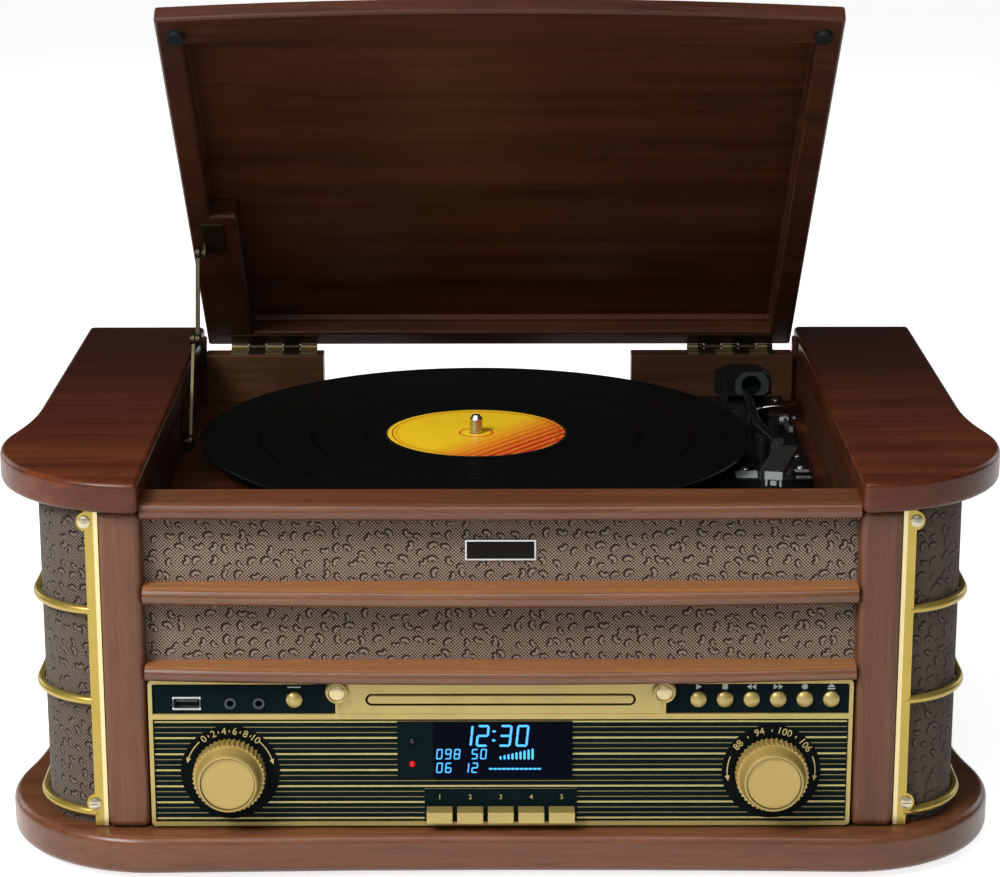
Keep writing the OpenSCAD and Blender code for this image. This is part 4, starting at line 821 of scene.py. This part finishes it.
def make_label():
    """Paper label with a hole for the spindle, on the record."""
    bm = bmesh.new()
    hole, outer = 3.7, LABEL_R / MM
    profile = [(hole, 0.0), (hole + 0.1, 0.10), (outer - 0.5, 0.10), (outer, 0.02)]
    lathe(bm, profile, Matrix.Translation((SPINDLE.x, SPINDLE.y, RECORD_TOP)), sides=128)
    finish_piece("record_label", "turntable", label_paper("label_paper"), bm)


make_label()


# ------------------------------------------------------------------ printed marks on the panel

PRINT = 0.12 * MM  # thickness of the printed marks


def arrow(bm, centre, radius, start, end, y):
    """A curved arrow whose head is at its end angle."""
    arc_band(bm, centre, radius, 0.55 * MM, start, end, y, PRINT)
    tip = on_circle(centre, radius, end + math.copysign(7, end - start))
    inner = on_circle(centre, radius - 1.25 * MM, end)
    outer = on_circle(centre, radius + 1.25 * MM, end)
    prism(bm, [tip, inner, outer], y, PRINT)


def make_dial_marks():
    """Numbers, strokes between them and curved arrows round both knobs."""
    number_r, arrow_r, stroke_in, stroke_out = 21.7 * MM, 22.0 * MM, 21.3 * MM, 22.3 * MM
    for name, numbers, spread, arcs in (
            ("volume_knob", ("0", "2", "4", "6", "8", "10"), 36, ((-43, -70), (41, 72))),
            ("tuning_knob", ("88", "94", "100", "106"), 50, ((-69, -96), (69, 96)))):
        bm = bmesh.new()
        centre = (middle(name).x, middle(name).z)
        gap = 2 * spread / (len(numbers) - 1)
        for i, number in enumerate(numbers):
            angle = -spread + gap * i
            numeral(bm, number, on_circle(centre, number_r, angle), 5.2 * MM, angle, DIAL_Y, PRINT)
            if i < len(numbers) - 1:
                between = angle + gap / 2
                bar(bm, on_circle(centre, stroke_in, between), on_circle(centre, stroke_out, between),
                    0.5 * MM, DIAL_Y, PRINT)
        for start, end in arcs:
            arrow(bm, centre, arrow_r, start, end, DIAL_Y)
        finish_piece(name + "_marks", "cabinet", gold_ink, bm)


def make_button_signs():
    """Plain signs over the buttons and numbers over the keys."""
    bm = bmesh.new()
    z = high("play_button").z + 1.3 * MM
    unit = 1.35 * MM
    signs = {
        "play_button": [[(-0.9, -1.1), (1.2, 0), (-0.9, 1.1)]],
        "stop_button": [[(-1, -1), (1, -1), (1, 1), (-1, 1)]],
        "back_button": [[(0, 0), (1.7, -1.1), (1.7, 1.1)], [(-1.8, 0), (-0.1, -1.1), (-0.1, 1.1)]],
        "forward_button": [[(0, 0), (-1.7, 1.1), (-1.7, -1.1)], [(1.8, 0), (0.1, 1.1), (0.1, -1.1)]],
        "record_button": [[on_circle((0, 0), 1.1, 22.5 * t) for t in range(16)]],
        "tray_button": [[(-1.4, -0.2), (1.4, -0.2), (0, 1.3)],
                        [(-1.4, -1.1), (1.4, -1.1), (1.4, -0.6), (-1.4, -0.6)]],
        "function_button": [[(-2.4, -0.2), (2.4, -0.2), (2.4, 0.2), (-2.4, 0.2)]],
    }
    for name, outlines in signs.items():
        for outline in outlines:
            prism(bm, [(middle(name).x + px * unit, z + pz * unit) for px, pz in outline],
                  PANEL_Y, PRINT)
    finish_piece("button_signs", "cabinet", white_ink, bm)
    bm = bmesh.new()
    for i, name in enumerate(("menu_key", "info_key", "scan_key", "preset_key", "enter_key")):
        numeral(bm, str(i + 1), (middle(name).x, high(name).z + 4.3 * MM), 3.6 * MM, 0,
                low("panel_face").y, PRINT)
    finish_piece("key_numbers", "cabinet", gold_ink, bm)


# strokes of each figure, and the ends of each stroke by column and row
SEGMENTS = {"0": "abcdef", "1": "bc", "2": "abged", "3": "abgcd", "4": "fgbc", "5": "afgcd",
            "6": "afgedc", "7": "abc", "8": "abcdefg", "9": "abcdfg"}
STROKES = {"a": ((0, 2), (1, 2)), "b": ((1, 2), (1, 1)), "c": ((1, 1), (1, 0)),
           "d": ((0, 0), (1, 0)), "e": ((0, 1), (0, 0)), "f": ((0, 2), (0, 1)), "g": ((0, 1), (1, 1))}


def make_display():
    """Plain figures, a row of rising bars and a row of dashes on the display window."""
    bm = bmesh.new()
    window_lo = low("display_window")
    depth = 0.05 * MM

    def spot(x, z):
        """A place in millimetres from the window's lower left corner."""
        return Vector((window_lo.x + x * MM, window_lo.z + z * MM))

    def stroke(start, end, width):
        bar(bm, start, end, width * MM, window_lo.y, depth)

    def digit(figure, x, z, width, height, thick):
        """A figure of up to seven strokes, leaning a little to the right."""
        lean = 0.10
        corners = {(i, j): spot(x + (i - 0.5) * width + lean * (j - 1) * height / 2,
                                z + (j - 1) * height / 2) for i in (0, 1) for j in (0, 1, 2)}
        for letter in SEGMENTS[figure]:
            first, second = (corners[key] for key in STROKES[letter])
            trim = (second - first).normalized() * 0.35 * thick * MM
            stroke(first + trim, second - trim, thick)

    clock_z = 22.6
    for figure, x in zip("1230", (16.6, 24.6, 36.0, 44.4)):
        digit(figure, x, clock_z, 5.0, 10.4, 1.15)
    for rise in (-2.4, 2.4):
        x = 30.2 + 0.05 * rise
        stroke(spot(x - 0.5, clock_z + rise), spot(x + 0.5, clock_z + rise), 1.1)
    for text, z in (("098 50", 12.9), ("06 12", 5.6)):
        for i, figure in enumerate(text):
            if figure != " ":
                digit(figure, 3.0 + 4.4 * i, z, 2.5, 4.9, 0.62)
    for i in range(9):
        x = 33.5 + 2.0 * i
        stroke(spot(x, 10.4), spot(x, 11.4 + 0.5 * i), 1.1)
    for i in range(12):
        x = 28.0 + 2.2 * i
        stroke(spot(x, 5.0), spot(x + 1.2, 5.0), 1.0)
    finish_piece("display_figures", "cabinet", segment_glow, bm)


make_dial_marks()
make_button_signs()
make_display()


# ------------------------------------------------------------------ small fittings

def make_door_fittings():
    """Pearl bosses in raised rings on the door plate, and a short rib below each."""
    face = low("tray_door").y / MM
    boss_x, boss_z = 81.2, 96.7
    rib_low, rib_high = 85.2, 91.6
    cap = [(0.0, 0.75), (1.6, 0.70), (2.9, 0.45), (3.8, 0.12), (4.05, -0.1)]
    ring = [(4.3, -0.1), (4.3, 0.25), (4.75, 0.5), (5.25, 0.35), (5.5, -0.1)]
    for x, label in ((-boss_x, "left"), (boss_x, "right")):
        bm = bmesh.new()
        lathe(bm, cap, at(x, face, boss_z, FRONTWARD), sides=40)
        finish_piece("door_boss_" + label, "cabinet", pearl, bm, smooth=True)
        bm = bmesh.new()
        lathe(bm, ring, at(x, face, boss_z, FRONTWARD), sides=48)
        finish_piece("door_ring_" + label, "cabinet", gilt, bm, smooth=True)
        bm = bmesh.new()
        made = block(bm, *mm(((x - 0.6, face - 0.45, rib_low), (x + 0.6, face + 0.1, rib_high))))
        soften(bm, made, 0.25 * MM)
        finish_piece("door_rib_" + label, "cabinet", gilt, bm)


def make_chassis_fittings():
    """Silver plates and screws on the record player's chassis, and one screw on the deck."""
    bm = bmesh.new()
    top = CHASSIS_Z / MM
    left_plate = ((125.5, -36.0), (137.5, -22.5))
    before_switch = ((157.6, -37.0), (165.6, -33.0))
    behind_switch = ((157.6, -25.0), (165.6, -20.5))
    middle_plate = ((140.5, -36.0), (148.0, -31.0))
    for lo, hi in (left_plate, before_switch, behind_switch, middle_plate):
        soften(bm, block(bm, *mm(((*lo, top), (*hi, top + 0.4)))), 0.15 * MM)
    finish_piece("chassis_plates", "cabinet", silver_paint, bm)
    bm = bmesh.new()
    for x, y in ((161.6, -15.5), (131.5, -18.0), (161.8, 8.0), (161.8, 130.0), (20.0, -82.0)):
        screw(bm, at(x, y, top), 2.2, 0.9)
    screw(bm, at(170.8, 108.8, DECK_Z / MM), 2.4, 1.0)
    finish_piece("chassis_screws", "cabinet", silver, bm, smooth=True)


def make_shell_front():
    """Silver terminal block on the front of the headshell, with its legs and the finger lift."""
    place = at(139.4, -95.4, 184.0, Matrix.Rotation(math.radians(-14), 4, "Z"))
    terminals = ((-4.6, -1.6, 3.8), (4.6, 0.6, 7.8))
    left_leg = ((-4.2, -1.5, 0.2), (-3.0, 0.3, 3.8))
    right_leg = ((3.0, -1.5, 0.2), (4.2, 0.3, 3.8))
    finger_lift = ((-1.6, -1.7, 0.8), (1.6, 0.3, 3.4))
    bm = bmesh.new()
    for corners in (terminals, left_leg, right_leg, finger_lift):
        soften(bm, block(bm, *mm(corners), place), 0.25 * MM)
    finish_piece("shell_front", "tonearm", silver_paint, bm)


def make_bearing_cover():
    """Front cover of the arm's bearing, with a near-black disc of painted shade for the mouth that the
    tube comes out of.
    """
    front = low("tonearm_yoke").y
    thickness = 1.0 * MM
    bm = bmesh.new()
    outline = [(133.5, 190.5), (135.0, 189.0), (150.0, 189.0), (152.4, 191.5), (152.4, 197.0),
               (149.5, 202.0), (138.0, 202.0), (133.5, 197.5)]
    prism(bm, mm(outline), front, thickness)
    finish_piece("bearing_cover", "arm_yoke", grey_plastic, bm)
    bm = bmesh.new()
    # painted shade: the mouth is a near-black disc that stands for the dark hollow
    mouth = [(0.0, 0.15), (4.5, 0.15), (4.7, 0.7), (5.2, 0.7), (5.4, 0.0)]
    lathe(bm, mouth, at(142.3, (front - thickness) / MM, 195.0, FRONTWARD), sides=40)
    finish_piece("bearing_mouth", "arm_yoke", mouth_shade_black, bm, smooth=True)


def make_lift_wires():
    """Two bent wires of the cue lever's lift, beside the arm."""
    outer = ((141.0, 66.0, 176.0), (143.0, 64.0, 181.5), (148.0, 62.5, 184.6), (154.0, 62.0, 185.6),
             (160.0, 62.0, 185.6))
    inner = ((140.4, 60.0, 172.0), (140.0, 59.0, 177.0), (140.6, 58.0, 182.0), (143.0, 57.0, 185.0),
             (147.5, 56.0, 186.2))
    bm = bmesh.new()
    for path in (outer, inner):
        tube(bm, mm(path), 0.5 * MM)
    finish_piece("lift_wires", "cabinet", silver, bm, smooth=True)


def make_corner_fillets():
    """Dark fillets that close the slits beside the hinge blocks."""
    bm = bmesh.new()
    lo, hi = low("hinge_blocks"), high("hinge_blocks")
    overlap, inset = 0.2 * MM, 4.0 * MM
    slit = 2.5 * MM
    top = high("wing_tops").z - 2.0 * MM
    for x0, x1 in ((-hi.x - slit, -hi.x + overlap), (hi.x - overlap, hi.x + slit)):
        made = block(bm, (x0, lo.y + inset, DECK_Z), (x1, hi.y - inset, top))
        soften(bm, made, 0.5 * MM)
    finish_piece("corner_fillets", "cabinet", wall_wood, bm)


def make_stay_rivets():
    """Rivets at the three pivots of the folding stay."""
    head = [(0.0, 1.1), (1.2, 1.0), (2.1, 0.55), (2.5, 0.0)]
    for name, body, place in (("stay_foot_rivet", "cabinet", (-170.9, 37.5, 172.0)),
                              ("stay_knuckle_rivet", "stay_rod", (-168.2, 65.9, 223.7)),
                              ("stay_head_rivet", "lid", (-168.2, 79.84, 270.0))):
        bm = bmesh.new()
        lathe(bm, head, at(*place, RIGHT), sides=24)
        finish_piece(name, body, bronze, bm, smooth=True)


def make_back_fittings():
    """Screws round the back panel, and rows of vent slots drawn as thin dark plates of painted shade."""
    back = high("back_panel").y / MM
    bm = bmesh.new()
    for x in (-215, -110, 0, 110, 215):
        for z in (32, 156):
            screw(bm, at(x, back, z, BACKWARD), 3.2, 1.2)
    finish_piece("back_screws", "cabinet", dull_silver, bm)
    bm = bmesh.new()
    rows, lowest, pitch = 7, 92, 7
    half_length, end_r = 20, 1.5
    # painted shade: each slot is a thin dark plate on the panel, not an opening
    for x in (-150, 150):
        for row in range(rows):
            z = lowest + pitch * row
            outline = (arc_points((x + half_length, z), end_r, 180, 0, 8)
                       + arc_points((x - half_length, z), end_r, 0, -180, 8))
            prism(bm, mm(outline), (back + 0.15) * MM, 0.3 * MM)
    finish_piece("vent_slot_shades", "cabinet", rubber, bm)


make_door_fittings()
make_chassis_fittings()
make_shell_front()
make_bearing_cover()
make_lift_wires()
make_corner_fillets()
make_stay_rivets()
make_back_fittings()


# ------------------------------------------------------------------ stage, light and camera

def connect(tree, *links):
    for source, target in links:
        tree.links.new(source, target)


def backdrop(tree, shade, seen):
    """Camera, glossy and transmission rays see one shader, and light comes from the other."""
    path = tree.nodes.new("ShaderNodeLightPath")
    total = path.outputs["Is Camera Ray"]
    for ray in ("Is Glossy Ray", "Is Transmission Ray"):
        largest = tree.nodes.new("ShaderNodeMath")
        largest.operation = "MAXIMUM"
        connect(tree, (total, largest.inputs[0]), (path.outputs[ray], largest.inputs[1]))
        total = largest.outputs[0]
    mix = tree.nodes.new("ShaderNodeMixShader")
    connect(tree, (total, mix.inputs[0]), (shade, mix.inputs[1]), (seen, mix.inputs[2]))
    return mix.outputs[0]


def make_floor():
    """White floor that the camera sees brighter than it lights the part."""
    bm = bmesh.new()
    bmesh.ops.create_grid(bm, x_segments=1, y_segments=1, size=30.0)
    mesh = bpy.data.meshes.new("floor")
    bm.to_mesh(mesh)
    bm.free()
    floor = add_object("floor", mesh)
    material = bpy.data.materials.new("floor_paint")
    tree = empty_tree(material)
    output = tree.nodes.new("ShaderNodeOutputMaterial")
    matt = tree.nodes.new("ShaderNodeBsdfDiffuse")
    matt.inputs["Color"].default_value = (0.80, 0.80, 0.80, 1.0)
    white = tree.nodes.new("ShaderNodeEmission")
    white.inputs["Strength"].default_value = 0.80
    soft = tree.nodes.new("ShaderNodeAddShader")
    connect(tree, (matt.outputs[0], soft.inputs[0]), (white.outputs[0], soft.inputs[1]),
            (backdrop(tree, matt.outputs[0], soft.outputs[0]), output.inputs["Surface"]))
    mesh.materials.append(material)


def make_world():
    """Soft light that is brightest from the front, a little from the left and from above."""
    world = bpy.data.worlds.new("studio")
    tree = empty_tree(world)
    place = tree.nodes.new("ShaderNodeTexCoord")
    along = tree.nodes.new("ShaderNodeVectorMath")
    along.operation = "DOT_PRODUCT"
    along.inputs[1].default_value = (0.42, 0.88, -0.22)
    shift = tree.nodes.new("ShaderNodeMath")
    shift.operation = "MULTIPLY_ADD"
    shift.inputs[1].default_value = 0.5
    shift.inputs[2].default_value = 0.5
    ramp = tree.nodes.new("ShaderNodeValToRGB")
    bright, dim = 0.26, 0.03
    for element, position, grey in zip(ramp.color_ramp.elements, (0.10, 0.70), (bright, dim)):
        element.position = position
        element.color = (grey, grey, grey, 1.0)
    light = tree.nodes.new("ShaderNodeBackground")
    output = tree.nodes.new("ShaderNodeOutputWorld")
    connect(tree, (place.outputs["Generated"], along.inputs[0]),
            (along.outputs["Value"], shift.inputs[0]), (shift.outputs[0], ramp.inputs["Fac"]),
            (ramp.outputs["Color"], light.inputs["Color"]), (light.outputs[0], output.inputs["Surface"]))
    bpy.context.scene.world = world


def lamp(name, place, aim, size, power, tint=(1.0, 1.0, 1.0)):
    """A rectangular lamp that points from its place at its aim."""
    data = bpy.data.lights.new(name, "AREA")
    data.shape = "RECTANGLE"
    data.size, data.size_y = size
    data.energy = power
    data.color = tint
    holder = add_object(name, data)
    holder.location = place
    holder.rotation_euler = (Vector(aim) - Vector(place)).to_track_quat("-Z", "Y").to_euler()


def make_camera():
    """The photo's camera, fitted to the record, the panel and the wing tops."""
    data = bpy.data.cameras.new("camera")
    data.lens = 102.46
    data.sensor_width = 36.0
    data.sensor_fit = "HORIZONTAL"
    pitch, yaw, roll = 0.2651, -0.0021, 0.0007
    camera = add_object("camera", data)
    camera.location = (-0.00280, -1.48912, 0.58796)
    camera.rotation_euler = (math.pi / 2 - pitch, roll, yaw)
    bpy.context.scene.camera = camera


make_floor()
make_world()
lamp("key", (-1.10, -1.25, 1.50), (0.0, 0.0, 0.15), (0.8, 0.6), 42.0, (1.0, 0.985, 0.96))
lamp("strip", (-0.40, -2.0, 1.15), (0.0, 0.0, 0.12), (1.9, 0.16), 4.5)
lamp("overhead", (-0.25, -0.95, 1.70), (0.0, -0.15, 0.15), (1.8, 0.22), 11.0)
for lamp_name, lamp_x in (("back_left", -1.7), ("back_right", 1.7)):
    lamp(lamp_name, (lamp_x, 1.5, 0.8), (0.0, 0.1, 0.12), (0.9, 0.9), 6.0)
make_camera()
bpy.context.scene.view_settings.view_transform = "Standard"
